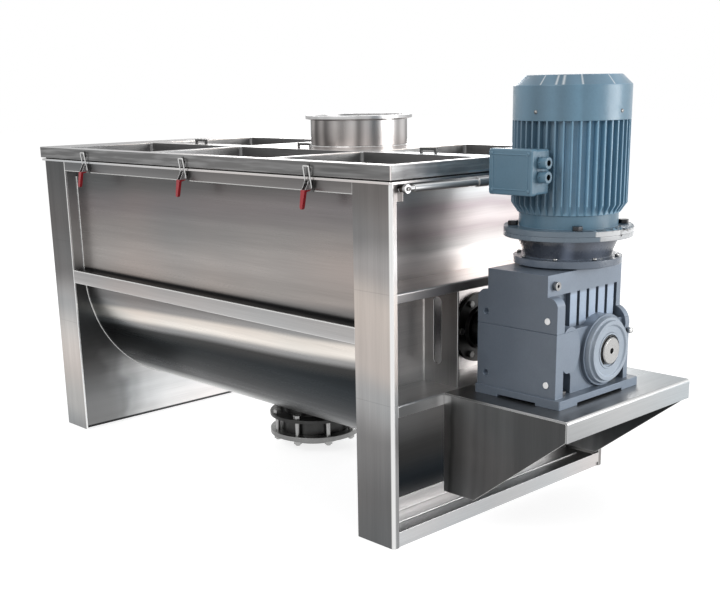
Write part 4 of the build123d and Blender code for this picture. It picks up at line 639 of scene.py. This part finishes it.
def shield_finish():
    """Motor enamel above the mounting flange, whose rim has a painted sheen on the side towards the
    lamps.
    """
    finish = enamel("motor flange enamel", MOTOR_BLUE, 0.33, 0.002)
    flange = finish.within("Z", 0.5, 0.8692)
    finish.tint(flange, FLANGE_GREY)
    # Painted sheen on one side of the flange's rim
    sheen_patch = finish.both(finish.within("X", 1.030, 2.0, 0.001), finish.within("Z", 0.852, 0.867))
    finish.tint(sheen_patch, (0.7, 0.71, 0.72), 0.95)
    return finish.done()


def cowl_finish():
    """Motor enamel with painted reflections: soft upright bands, and light streaks on the sloped
    shoulder where ceiling lights reflect.
    """
    finish = enamel("cowl enamel", (0.115, 0.215, 0.295), 0.3, 0.0018)
    # Painted reflections in upright bands
    finish.multiply(finish.shades(ACROSS, cowl_stops))
    # The shoulder painted a little darker, as shade
    shoulder = finish.within("Z", 1.237, 1.2605)
    finish.scale(shoulder, (0.9, 0.86, 0.86))
    angle = finish.around(MOTOR_X * MM, MOTOR_Y * MM)
    # Painted reflections of ceiling lights: angle and half width of each streak, in radians
    streaks = ((-1.50, 0.02), (-1.22, 0.03), (-1.10, 0.035), (-0.78, 0.025), (-0.2, 0.02))
    for middle, reach in streaks:
        rise = finish.spread(angle, middle - reach, middle)
        fall = finish.spread(angle, middle + reach, middle)
        finish.tint(finish.both(finish.both(rise, fall), shoulder), (0.75, 0.8, 0.83), 0.85)
    return finish.done()


def fin_finish():
    """Enamel of the finned frame, darker on the side away from the light."""
    finish = enamel("fin enamel", (0.16, 0.3, 0.41), 0.3, 0.0018, faces=((RIGHT, 1.15),))
    sides = [(0.44, (0.84, 0.72, 0.7)), (0.52, (0.9, 0.82, 0.8)), (0.57, 1.0), (0.75, 1.0)]
    finish.multiply(finish.shades(ACROSS, sides))
    return finish.done()


def lever_finish():
    """Bright lever whose lower end, the grip, is dipped in red plastic."""
    finish = Finish("latch lever", 0.45, 0.28)
    finish.tint(finish.noise((0.01, 0.01, 0.02)), (0.3, 0.3, 0.31), 0.5)
    finish.tint(finish.within("Z", 0.5, GRIP_TOP * MM), (0.36, 0.012, 0.02))
    finish.tint(finish.noise((0.004, 0.004, 0.01), 3.0, 0.5, 0.8), (0.2, 0.01, 0.015), 0.3)
    finish.raise_by(finish.noise(0.002, 2.0), 0.00008)
    finish.link(finish.within("Z", GRIP_TOP * MM, 2.0), finish.shader.inputs["Metallic"])
    return finish.done()


def gear_finish():
    """Enamel of the gear unit, painted lighter on faces turned to the lamps and between the ribs of
    its end.
    """
    # Painted light on faces turned to the lamps
    lit = ((RIGHT, 2.2), (UP, 1.25))
    finish = enamel("gear unit enamel", (0.105, 0.13, 0.165), 0.36, 0.0025, faces=lit)
    # Painted light between the ribs of the end
    ribs = finish.both(finish.within("Z", 0.62, 0.702, 0.004), finish.within("X", 0.9735, 1.004))
    finish.scale(finish.both(ribs, finish.within("Y", -0.186, 0.094)), 1.9)
    return finish.done()


def gland_finish():
    """Motor enamel, black inside the two bores."""
    finish = enamel("gland enamel", MOTOR_BLUE, 0.32, 0.0018)
    for height in (1.010, 1.046):
        finish.tint(finish.near("X", (0, -0.202, height), 0.0078), (0.008, 0.008, 0.01), 0.97)
    return finish.done()


def fastener_finish():
    """Grey bolts, black ones on the motor's flange, and bright plugs on the gear unit's side."""
    finish = Finish("fastener steel", 0.24, 0.28, metallic=1.0)
    finish.scale(finish.noise(0.01), 0.7, 0.5)
    flange_bolts = finish.within("Z", 0.84, 0.95)
    finish.tint(flange_bolts, (0.03, 0.031, 0.034), 0.95)
    side_plugs = finish.within("Y", -0.4, -0.2192)
    finish.tint(side_plugs, 0.62, 0.95)
    # Painted light: lighter on the side turned to the lamps
    finish.lean(LAMP_SIDE, 0.75, 1.3)
    finish.raise_by(finish.noise(0.0008, 2.0), 0.00001)
    return finish.done()


def chrome_finish():
    """Chromed rod and tube with painted light: lighter above with a painted highlight, darker below,
    faint lengthwise bands.
    """
    finish = Finish("chrome", 0.75, 0.3, metallic=0.75)
    finish.scale(finish.noise((0.004, 0.3, 0.004), 2.0, 0.35, 0.65), 0.75, 0.6)
    # Painted shade below, painted highlight on faces turned up towards the lamps
    finish.scale(finish.turned_to(DOWN, -0.2, 0.5), 0.35)
    finish.tint(finish.turned_to((0.5, -0.3, 0.8), 0.75, 0.95), 0.95, 0.9)
    finish.roughen(finish.noise((0.01, 0.05, 0.01), 2.0), 0.05)
    return finish.done()


bay_wobble = ((0.6, 0.35, 0.5), 0.012)
# Painted light and shade in bands, and painted shade on the front faces
steel_bay = sheet_steel(
    "drive end plate sheet", 0.32, "Y", "Z", bay_stops, bay_wobble, ((FRONT, 0.5),), edges=0
).done()
steel_trough = trough_finish()
steel_far_plate = far_plate_finish()
steel_leg = leg_finish("drive leg sheet", leg_stops, NEAR_CORNER)
steel_far_leg = leg_finish("far leg sheet", far_leg_stops, FAR_CORNER)
steel_rail = rail_finish()
# These sheets carry painted light and shade in bands, and painted highlights on their bends
steel_band = sheet_steel("top band sheet", 0.3, "X", "Z", [(0.96, 0.24), (1.0, 0.17)]).done()
steel_frame = sheet_steel("top frame sheet", 0.25, "X", "Z", [(1.0, 0.62), (1.01, 0.7)]).done()
# Ledges: painted light on top, painted shade underneath
ledge_stops = [(-0.5, 0.42), (0.0, 0.5), (0.5, 0.42)]
steel_ledge = sheet_steel(
    "ledge sheet", 0.28, "Y", "Y", ledge_stops, faces=((UP, 1.9), (DOWN, 0.4))
).done()
# Trays: painted light on upward and end faces
tray_stops = [(-0.5, 0.5), (0.5, 0.55)]
steel_tray = sheet_steel(
    "tray sheet", 0.28, "Y", "Y", tray_stops, faces=((UP, 1.4), (RIGHT, 1.25))
).done()
# Shelf: painted shade on front and under faces
shelf_stops = [(-0.3, 0.42), (0.0, 0.5), (0.3, 0.56)]
steel_shelf = sheet_steel(
    "shelf sheet", 0.26, "Y", "Y", shelf_stops, faces=((FRONT, 0.75), (DOWN, 0.35))
).done()
# Gusset: painted reflection bands across it
gusset_wobble = ((0.3, 0.3, 0.2), 0.01)
steel_gusset = sheet_steel("gusset sheet", 0.3, "Z", "X", gusset_stops, gusset_wobble).done()
steel_bracket = bracket_finish()
# Plain sheet: painted highlights on its bends
steel_plate = sheet_steel("plain sheet", 0.28, "X", "Z", [(0.0, 0.3), (1.1, 0.34)]).done()
steel_lid = lid_finish()
steel_inlet = inlet_finish()
bright_steel = turned_steel("bright steel", 0.55, 0.22)
plain_steel = turned_steel("machined steel", 0.36, 0.3)
bolt_steel = turned_steel("bolt steel", 0.22, 0.3)
dark_steel = turned_steel("dark steel", 0.05, 0.32, stain=0.5)
core_iron = turned_steel("laminated iron", 0.2, 0.5, stain=0.5)
gear_paint = gear_finish()
# Painted light on faces turned to the end lamp
cover_paint = enamel(
    "cover enamel", (0.265, 0.31, 0.365), 0.36, 0.0025, faces=((RIGHT, 1.5),)
).done()
shaft_face = turned_steel("shaft end steel", 0.33, 0.25)
gland_paint = gland_finish()
fastener_steel = fastener_finish()
chrome = chrome_finish()
handle_steel = turned_steel("handle steel", 0.12, 0.3)
motor_paint = enamel("motor enamel", MOTOR_BLUE, 0.32, 0.0018).done()
fin_paint = fin_finish()
cowl_paint = cowl_finish()
adapter_paint = adapter_finish()
flange_paint = shield_finish()
red_lever = lever_finish()
black_plastic = moulded("black plastic", (0.012, 0.012, 0.014), 0.42)
seal_rubber = moulded("seal rubber", (0.012, 0.012, 0.013), 0.6)


# Surfaces


def seated(mesh_object, body, material):
    """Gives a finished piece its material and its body."""
    mesh_object.data.materials.clear()
    mesh_object.data.materials.append(material)
    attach(mesh_object, body)
    return mesh_object


def mesh_of(name, points, faces):
    """Mesh object from an array of points and lists of faces, doubles merged, faces outward."""
    mesh = bpy.data.meshes.new(name)
    mesh.from_pydata(np.asarray(points).reshape(-1, 3).tolist(), [], faces)
    work = bmesh.new()
    work.from_mesh(mesh)
    bmesh.ops.remove_doubles(work, verts=work.verts, dist=1e-6)
    bmesh.ops.recalc_face_normals(work, faces=work.faces)
    work.to_mesh(mesh)
    work.free()
    mesh.polygons.foreach_set("use_smooth", [True] * len(mesh.polygons))
    piece = bpy.data.objects.new(name, mesh)
    bpy.context.scene.collection.objects.link(piece)
    return piece


def quads(rows, columns, looped=False):
    """Faces of a grid of points whose rows are rings: one quad between each point and the next in
    its row and column. Looped, the last row joins the first."""
    row, column = np.meshgrid(np.arange(rows if looped else rows - 1), np.arange(columns), indexing="ij")
    this_row, next_row = row * columns, (row + 1) % rows * columns
    next_column = (column + 1) % columns
    corners = (this_row + column, next_row + column, next_row + next_column, this_row + next_column)
    return np.stack(corners, -1).reshape(-1, 4).tolist()


# Two directions across an axis, and the axis itself
FRAMES = {
    "X": np.array([[0, 1, 0], [0, 0, 1], [1, 0, 0]], float),
    "Y": np.array([[0, 0, 1], [1, 0, 0], [0, 1, 0]], float),
    "Z": np.array([[1, 0, 0], [0, 1, 0], [0, 0, 1]], float),
}


def turned(name, profile, centres, axis, sides):
    """Profile turned round an axis: point(t, a) = centre + r(t) (cos a u + sin a v) + h(t) w,
    with u and v across the axis and w along it. Radius r and height h come from the profile, and
    the same shape stands at each of the centres. Sizes in millimetres."""
    radius, height = np.array(profile, float).T * MM
    u, v, w = FRAMES[axis]
    angle = np.linspace(0, 2 * np.pi, sides, endpoint=False)
    ring = np.cos(angle)[:, None] * u + np.sin(angle)[:, None] * v
    shape = radius[:, None, None] * ring[None] + height[:, None, None] * w
    points = np.concatenate([shape + np.array(centre, float) * MM for centre in centres])
    faces = []
    for number in range(len(centres)):
        start = number * len(radius) * sides
        faces += [[corner + start for corner in face] for face in quads(len(radius), sides)]
    return mesh_of(name, points, faces)


def bar_along(name, paths, radius, sides=12, ripple=0.0, wave=4.0, looped=False):
    """Round bar along each path: point(s, a) = path(s) + r(s) (cos a n(s) + sin a b(s)), with n
    and b across the path and r(s) swelling by the ripple once per wave. An open bar's ends close
    to points. Sizes in millimetres."""
    points, faces, start = [], [], 0
    angle = np.linspace(0, 2 * np.pi, sides, endpoint=False)
    for path in paths:
        line = np.array(path, float)
        if looped:
            tangent = np.roll(line, -1, 0) - np.roll(line, 1, 0)
        else:
            tangent = np.gradient(line, axis=0)
        tangent /= np.linalg.norm(tangent, axis=1)[:, None]
        level = abs(tangent[:, 2]).max() < 0.9
        lead = np.array([0.0, 0.0, 1.0] if level else [0.3, 1.0, 0.1])
        normal = np.cross(tangent, lead)
        normal /= np.linalg.norm(normal, axis=1)[:, None]
        binormal = np.cross(tangent, normal)
        steps = np.linalg.norm(np.diff(line, axis=0), axis=1)
        run = np.concatenate([[0], np.cumsum(steps)])
        size = radius * (1 + ripple * np.sin(2 * np.pi * run / wave))
        if not looped:
            size[[0, -1]] = 0.0
        cosine, sine = np.cos(angle)[None, :, None], np.sin(angle)[None, :, None]
        ring = cosine * normal[:, None] + sine * binormal[:, None]
        points.append((line[:, None] + size[:, None, None] * ring).reshape(-1, 3))
        faces += [[corner + start for corner in face] for face in quads(len(line), sides, looped)]
        start += len(line) * sides
    return mesh_of(name, np.concatenate(points) * MM, faces)


def narrowed_grip(points):
    """x(z) = centre + (x - centre) * (1 - 0.4 t), where t runs from 0 at the top of the grip to 1
    at its lower end."""
    down = np.clip((GRIP_TOP * MM - points[:, 2]) / (GRIP_LENGTH * MM), 0, 1)
    centre = (points[:, 0].min() + points[:, 0].max()) / 2
    points[:, 0] = centre + (points[:, 0] - centre) * (1 - 0.4 * down)
    return points


def slimmed_shaft(points):
    """Every point 0.6 % nearer to the shaft's axis, so that the facets clear the bores."""
    axis_z, share = SHAFT_Z * MM, 0.994
    points[:, 1] *= share
    points[:, 2] = axis_z + (points[:, 2] - axis_z) * share
    return points


SHARP = radians(32)


def softened(node, material, width, shape=None):
    """Copy of a CAD node with its loose triangles joined and its sharp edges rounded by width, in
    millimetres, or only marked if width is 0. It stands for that node. A shape moves the copy's
    points first."""
    copy = bpy.data.objects.new(node + "_finished", NODES[node].data.copy())
    bpy.context.scene.collection.objects.link(copy)
    work = bmesh.new()
    work.from_mesh(copy.data)
    bmesh.ops.remove_doubles(work, verts=work.verts, dist=2e-6)
    bmesh.ops.dissolve_degenerate(work, edges=work.edges, dist=1e-6)
    bmesh.ops.dissolve_limit(work, angle_limit=radians(0.4), verts=work.verts, edges=work.edges)
    if not width:
        for edge in [e for e in work.edges if e.calc_face_angle(0.0) > SHARP]:
            edge.smooth = False
    work.to_mesh(copy.data)
    work.free()
    if shape:
        points = np.empty(3 * len(copy.data.vertices), np.float32)
        copy.data.vertices.foreach_get("co", points)
        copy.data.vertices.foreach_set("co", shape(points.reshape(-1, 3)).ravel())
        copy.data.update()
    if "custom_normal" in copy.data.attributes:
        copy.data.attributes.remove(copy.data.attributes["custom_normal"])
    copy.data.polygons.foreach_set("use_smooth", [True] * len(copy.data.polygons))
    if width:
        round_edges = copy.modifiers.new("edges", "BEVEL")
        round_edges.width = width * MM
        round_edges.segments = 2
        round_edges.limit_method = "ANGLE"
        round_edges.angle_limit = SHARP
        round_edges.use_clamp_overlap = False
    even = copy.modifiers.new("shading", "WEIGHTED_NORMAL")
    even.weight = 80
    even.keep_sharp = True
    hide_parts(node)
    return seated(copy, BODY_OF[node], material)


# Nodes

brushed, polished = "brushed_stainless", "polished_stainless"
bright, dark = "bright_steel", "dark_steel"
# Material, slot and width of the rounded edges of each node
finishes = {
    "trough_shell": (steel_trough, brushed, 0.8),
    "top_frame": (steel_frame, brushed, 0),
    "end_plate_drive": (steel_bay, brushed, 0.8),
    "end_plate_far": (steel_far_plate, brushed, 0.8),
    "leg_drive_front": (steel_leg, brushed, 1.0),
    "leg_drive_rear": (steel_leg, brushed, 1.0),
    "legs_far": (steel_far_leg, brushed, 1.0),
    "side_rails": (steel_rail, brushed, 1.0),
    "top_bands": (steel_band, brushed, 1.0),
    "upper_ledges": (steel_ledge, brushed, 1.0),
    "mid_ledges": (steel_ledge, brushed, 1.0),
    "floor_trays": (steel_tray, brushed, 1.0),
    "bearing_brackets": (steel_bracket, brushed, 1.0),
    "drive_shelf": (steel_shelf, brushed, 0.6),
    "shelf_gussets": (steel_gusset, brushed, 0.8),
    "hinge_lugs": (steel_plate, bright, 0.8),
    "latch_bases": (handle_steel, bright, 0.4),
    "shaft_housings": (dark_steel, dark, 1.0),
    "housing_bolts": (bolt_steel, bright, 0.8),
    "discharge_neck": (dark_steel, dark, 1.2),
    "valve_body": (dark_steel, dark, 1.2),
    "outlet_flange": (bolt_steel, bright, 1.2),
    "valve_bolts": (plain_steel, bright, 0.8),
    "valve_seal": (seal_rubber, "seal_rubber", 0.6),
    "valve_shutter": (plain_steel, bright, 0.8),
    "main_shaft": (plain_steel, bright, 1.0),
    "outer_ribbons": (plain_steel, bright, 0),
    "inner_ribbons": (plain_steel, bright, 0),
    "ribbon_arms": (plain_steel, bright, 0.8),
    "shaft_coupling": (dark_steel, dark, 1.0),
    "hollow_shaft": (cover_paint, bright, 0.8),
    "stub_shaft": (shaft_face, bright, 0.5),
    "gearbox_lower_case": (gear_paint, "gear_paint", 1.2),
    "gearbox_upper_case": (gear_paint, "gear_paint", 1.2),
    "gearbox_covers": (cover_paint, "gear_paint", 1.2),
    "motor_adapter": (adapter_paint, "adapter_paint", 1.5),
    "motor_end_shield": (flange_paint, "motor_paint", 1.2),
    "motor_frame": (fin_paint, "motor_paint", 1.0),
    "fan_cowl": (cowl_paint, "motor_paint", 1.2),
    "stator_core": (core_iron, "core_steel", 0.8),
    "motor_rotor": (core_iron, "core_steel", 0.8),
    "motor_fan": (black_plastic, "black_plastic", 0.8),
    "terminal_box": (motor_paint, "motor_paint", 1.2),
    "terminal_box_lid": (motor_paint, "motor_paint", 1.0),
    "cable_glands": (gland_paint, "motor_paint", 1.0),
    "drive_fasteners": (fastener_steel, bright, 0.8),
    "lid_panel": (steel_lid, polished, 0.8),
    "lid_inlet": (steel_inlet, polished, 0.8),
    "lid_gasket": (seal_rubber, "seal_rubber", 0.6),
    "lid_handles": (handle_steel, bright, 1.2),
    "hinge_arms": (plain_steel, bright, 0.8),
    "latch_keepers": (handle_steel, bright, 0.4),
    "strut_cylinder": (chrome, bright, 0.5),
    "strut_rod": (chrome, bright, 0.5),
}
shapes = {"main_shaft": slimmed_shaft}
for number in (1, 2, 3):
    finishes[f"latch_lever_{number}"] = (red_lever, bright, 0.5)
    finishes[f"latch_bail_{number}"] = (bright_steel, bright, 0)
    shapes[f"latch_lever_{number}"] = narrowed_grip
for node, (material, slot, width) in finishes.items():
    softened(node, material, width, shapes.get(node))
left_out = sorted(set(NODES) - set(finishes))
assert not left_out, left_out

# Details

fixed = "machine_frame"


def arc(start, stop, count, radius, centre, plane):
    """Points on an arc in a plane such as "XY", angles in degrees from its first axis."""
    angle = np.radians(np.linspace(start, stop, count))
    line = np.tile(np.array(centre, float), (count, 1))
    first, second = ["XYZ".index(letter) for letter in plane]
    line[:, first] += radius * np.cos(angle)
    line[:, second] += radius * np.sin(angle)
    return line


def rounded_rectangle(x0, x1, z0, z1, corner, y):
    """Closed path in the XZ plane with rounded corners."""
    left, right, low, high = x0 + corner, x1 - corner, z0 + corner, z1 - corner
    centres = [(right, high, 0), (left, high, 90), (left, low, 180), (right, low, 270)]
    return np.concatenate([arc(turn, turn + 90, 7, corner, (x, y, z), "XZ") for x, z, turn in centres])


circlip = bar_along("output_circlip", [arc(-60, 240, 48, 41.0, (1022.4, 0, SHAFT_Z), "YZ")], 2.1)
seated(circlip, "agitator", dark_steel)

screw_head = [(0, 0), (5.6, 0), (5.6, 5.2), (5.0, 6.0), (3.1, 6.0), (2.8, 3.2), (0, 3.0)]
screw_ring = arc(22.5, 337.5, 8, 136, (MOTOR_X, MOTOR_Y, ADAPTER_FOOT_TOP), "XY")
seated(turned("adapter_screws", screw_head, screw_ring, "Z", 24), fixed, plain_steel)

button = [(0, -3), (5, -3), (5, 1.2), (3.4, 2.6), (0, 3)]
button_to_front = [(radius, -height) for radius, height in button]
cowl_screw_z = 1170
end_screw = (MOTOR_X + COWL_RADIUS, MOTOR_Y, cowl_screw_z)
front_screw = (MOTOR_X, MOTOR_Y - COWL_RADIUS, cowl_screw_z)
seated(turned("cowl_screw_end", button, [end_screw], "X", 24), fixed, bolt_steel)
seated(turned("cowl_screw_front", button_to_front, [front_screw], "Y", 24), fixed, bolt_steel)
box_x, box_front, box_z = 857.5, -240, 1022
corners = [(box_x + x, box_front, box_z + z) for x in (-59, 59) for z in (-47, 47)]
seated(turned("box_screws", button_to_front, corners, "Y", 24), fixed, motor_paint)
border = rounded_rectangle(box_x - 56.5, box_x + 56.5, box_z - 44.5, box_z + 44.5, 6, box_front)
seated(bar_along("box_border", [border], 1.9, 10, looped=True), fixed, motor_paint)

drain = [(0, -2), (9, -2), (9, 9), (11, 9), (11, 16), (9.5, 18), (0, 18)]
seated(turned("drain_plug", drain, [(974.5, 80, 455)], "X", 6), fixed, black_plastic)
vent = [(0, -2), (5, -2), (5, 4), (8.4, 4), (8.4, 13), (7.2, 15.5), (0, 15.8)]
seated(turned("breather", vent, [(1007.5, 105, 574)], "X", 24), fixed, bright_steel)

rope = dict(ripple=0.12, wave=5.0)
inlet_weld = arc(0, 360, 181, INLET_RADIUS + 1.2, (INLET_X, INLET_Y, LID_TOP + 0.6), "XY")[:-1]
seated(bar_along("inlet_weld", [inlet_weld], 2.4, 8, looped=True, **rope), "lid", bright_steel)
seams, seam_radius = [], TROUGH_OUTSIDE + 0.6
for x in (TROUGH_FAR_END + 0.4, TROUGH_DRIVE_END - 0.4):
    front, rear = (np.linspace((x, y, 950), (x, y, TROUGH_Z), 60) for y in (-seam_radius, seam_radius))
    bowl = arc(180, 360, 240, seam_radius, (x, 0, TROUGH_Z), "YZ")
    seams.append(np.concatenate([front, bowl[1:-1], rear[::-1]]))
seated(bar_along("trough_welds", seams, 2.4, 8, **rope), fixed, bright_steel)
saddle = arc(0, 360, 161, NECK_RADIUS + 1.2, (OUTLET_X, 0, 0), "XY")[:-1]
saddle[:, 2] = TROUGH_Z - np.sqrt((TROUGH_OUTSIDE + 1) ** 2 - saddle[:, 1] ** 2)
seated(bar_along("neck_weld", [saddle], 3.0, 8, looped=True, **rope), fixed, bolt_steel)

# Camera, floor and light

camera_data = bpy.data.cameras.new("camera")
camera = bpy.data.objects.new("camera", camera_data)
bpy.context.scene.collection.objects.link(camera)
camera_place = (2.67963, -2.51944, 1.24263)
yaw, pitch, roll = radians(46.486), radians(15.459), radians(-1.008)
forward = np.array([-np.sin(yaw) * np.cos(pitch), np.cos(yaw) * np.cos(pitch), -np.sin(pitch)])
right = np.array([np.cos(yaw), np.sin(yaw), 0.0])
up = np.cross(right, forward)
turned_right = np.cos(roll) * right + np.sin(roll) * up
turned_up = -np.sin(roll) * right + np.cos(roll) * up
pose = np.eye(4)
pose[:3, 0], pose[:3, 1], pose[:3, 2] = turned_right, turned_up, -forward
pose[:3, 3] = camera_place
camera.matrix_world = Matrix(pose.tolist())
picture_width, picture_height, focal_pixels = 720, 600, 1106.318
centre_across, centre_down = 358.675, 391.853
camera_data.sensor_width = 36
camera_data.lens = focal_pixels * 36 / picture_width
camera_data.shift_x = (picture_width / 2 - centre_across) / picture_width
camera_data.shift_y = (centre_down - picture_height / 2) / picture_width
camera_data.clip_end = 60
bpy.context.scene.camera = camera


def seen_directly(tree):
    """1 for camera, glossy and transmission rays."""
    path = tree.nodes.new("ShaderNodeLightPath")
    seen = path.outputs["Is Camera Ray"]
    for other in ("Is Glossy Ray", "Is Transmission Ray"):
        either = tree.nodes.new("ShaderNodeMath")
        either.operation = "MAXIMUM"
        tree.links.new(seen, either.inputs[0])
        tree.links.new(path.outputs[other], either.inputs[1])
        seen = either.outputs[0]
    return seen


FLOOR_GLOW = 0.8


def pale_floor():
    """Matt floor that keeps the shadow. To the camera and in reflections it glows a little, so
    that it meets the white background."""
    finish = Finish("studio floor", 0.46, 0.95)
    finish.tint(finish.noise(0.6, 2.0), (0.455, 0.455, 0.46), 0.5)
    material = finish.done()
    tree = material.node_tree
    finish.shader.inputs["Emission Color"].default_value = (1, 1, 1, 1)
    glow = tree.nodes.new("ShaderNodeMath")
    glow.operation = "MULTIPLY"
    tree.links.new(seen_directly(tree), glow.inputs[0])
    glow.inputs[1].default_value = FLOOR_GLOW
    tree.links.new(glow.outputs[0], finish.shader.inputs["Emission Strength"])
    finish.shader.inputs["Specular IOR Level"].default_value = 0.0
    return material


bpy.ops.mesh.primitive_plane_add(size=60, location=(0, 0, 0))
floor = bpy.context.object
floor.name = "studio_floor"
floor.data.materials.append(pale_floor())

world = bpy.data.worlds.new("studio")
bpy.context.scene.world = world
world.use_nodes = True
tree = world.node_tree
background = tree.nodes["Background"]
background.inputs["Color"].default_value = (1, 1, 1, 1)
level = tree.nodes.new("ShaderNodeMapRange")
level.inputs["To Min"].default_value = 0.5
level.inputs["To Max"].default_value = 1.0
tree.links.new(seen_directly(tree), level.inputs["Value"])
tree.links.new(level.outputs[0], background.inputs["Strength"])
bpy.context.scene.view_settings.view_transform = "Standard"


def softbox(name, place, aim, size, watts):
    """Rectangular lamp that faces a point."""
    light = bpy.data.lights.new(name, "AREA")
    light.shape = "RECTANGLE"
    light.size, light.size_y = size
    light.energy = watts
    lamp = bpy.data.objects.new(name, light)
    bpy.context.scene.collection.objects.link(lamp)
    lamp.location = place
    lamp.rotation_euler = (Vector(aim) - Vector(place)).to_track_quat("-Z", "Y").to_euler()
    return lamp


softbox("front lamp", (0.4, -5.0, 3.6), (0, 0, 0.5), (3.0, 2.0), 110)
softbox("end lamp", (5.0, 2.6, 1.6), (0.6, 0, 0.6), (2.6, 2.2), 150)
softbox("back lamp", (-4.0, 4.5, 2.6), (0, 0, 1.0), (3.4, 2.0), 130)
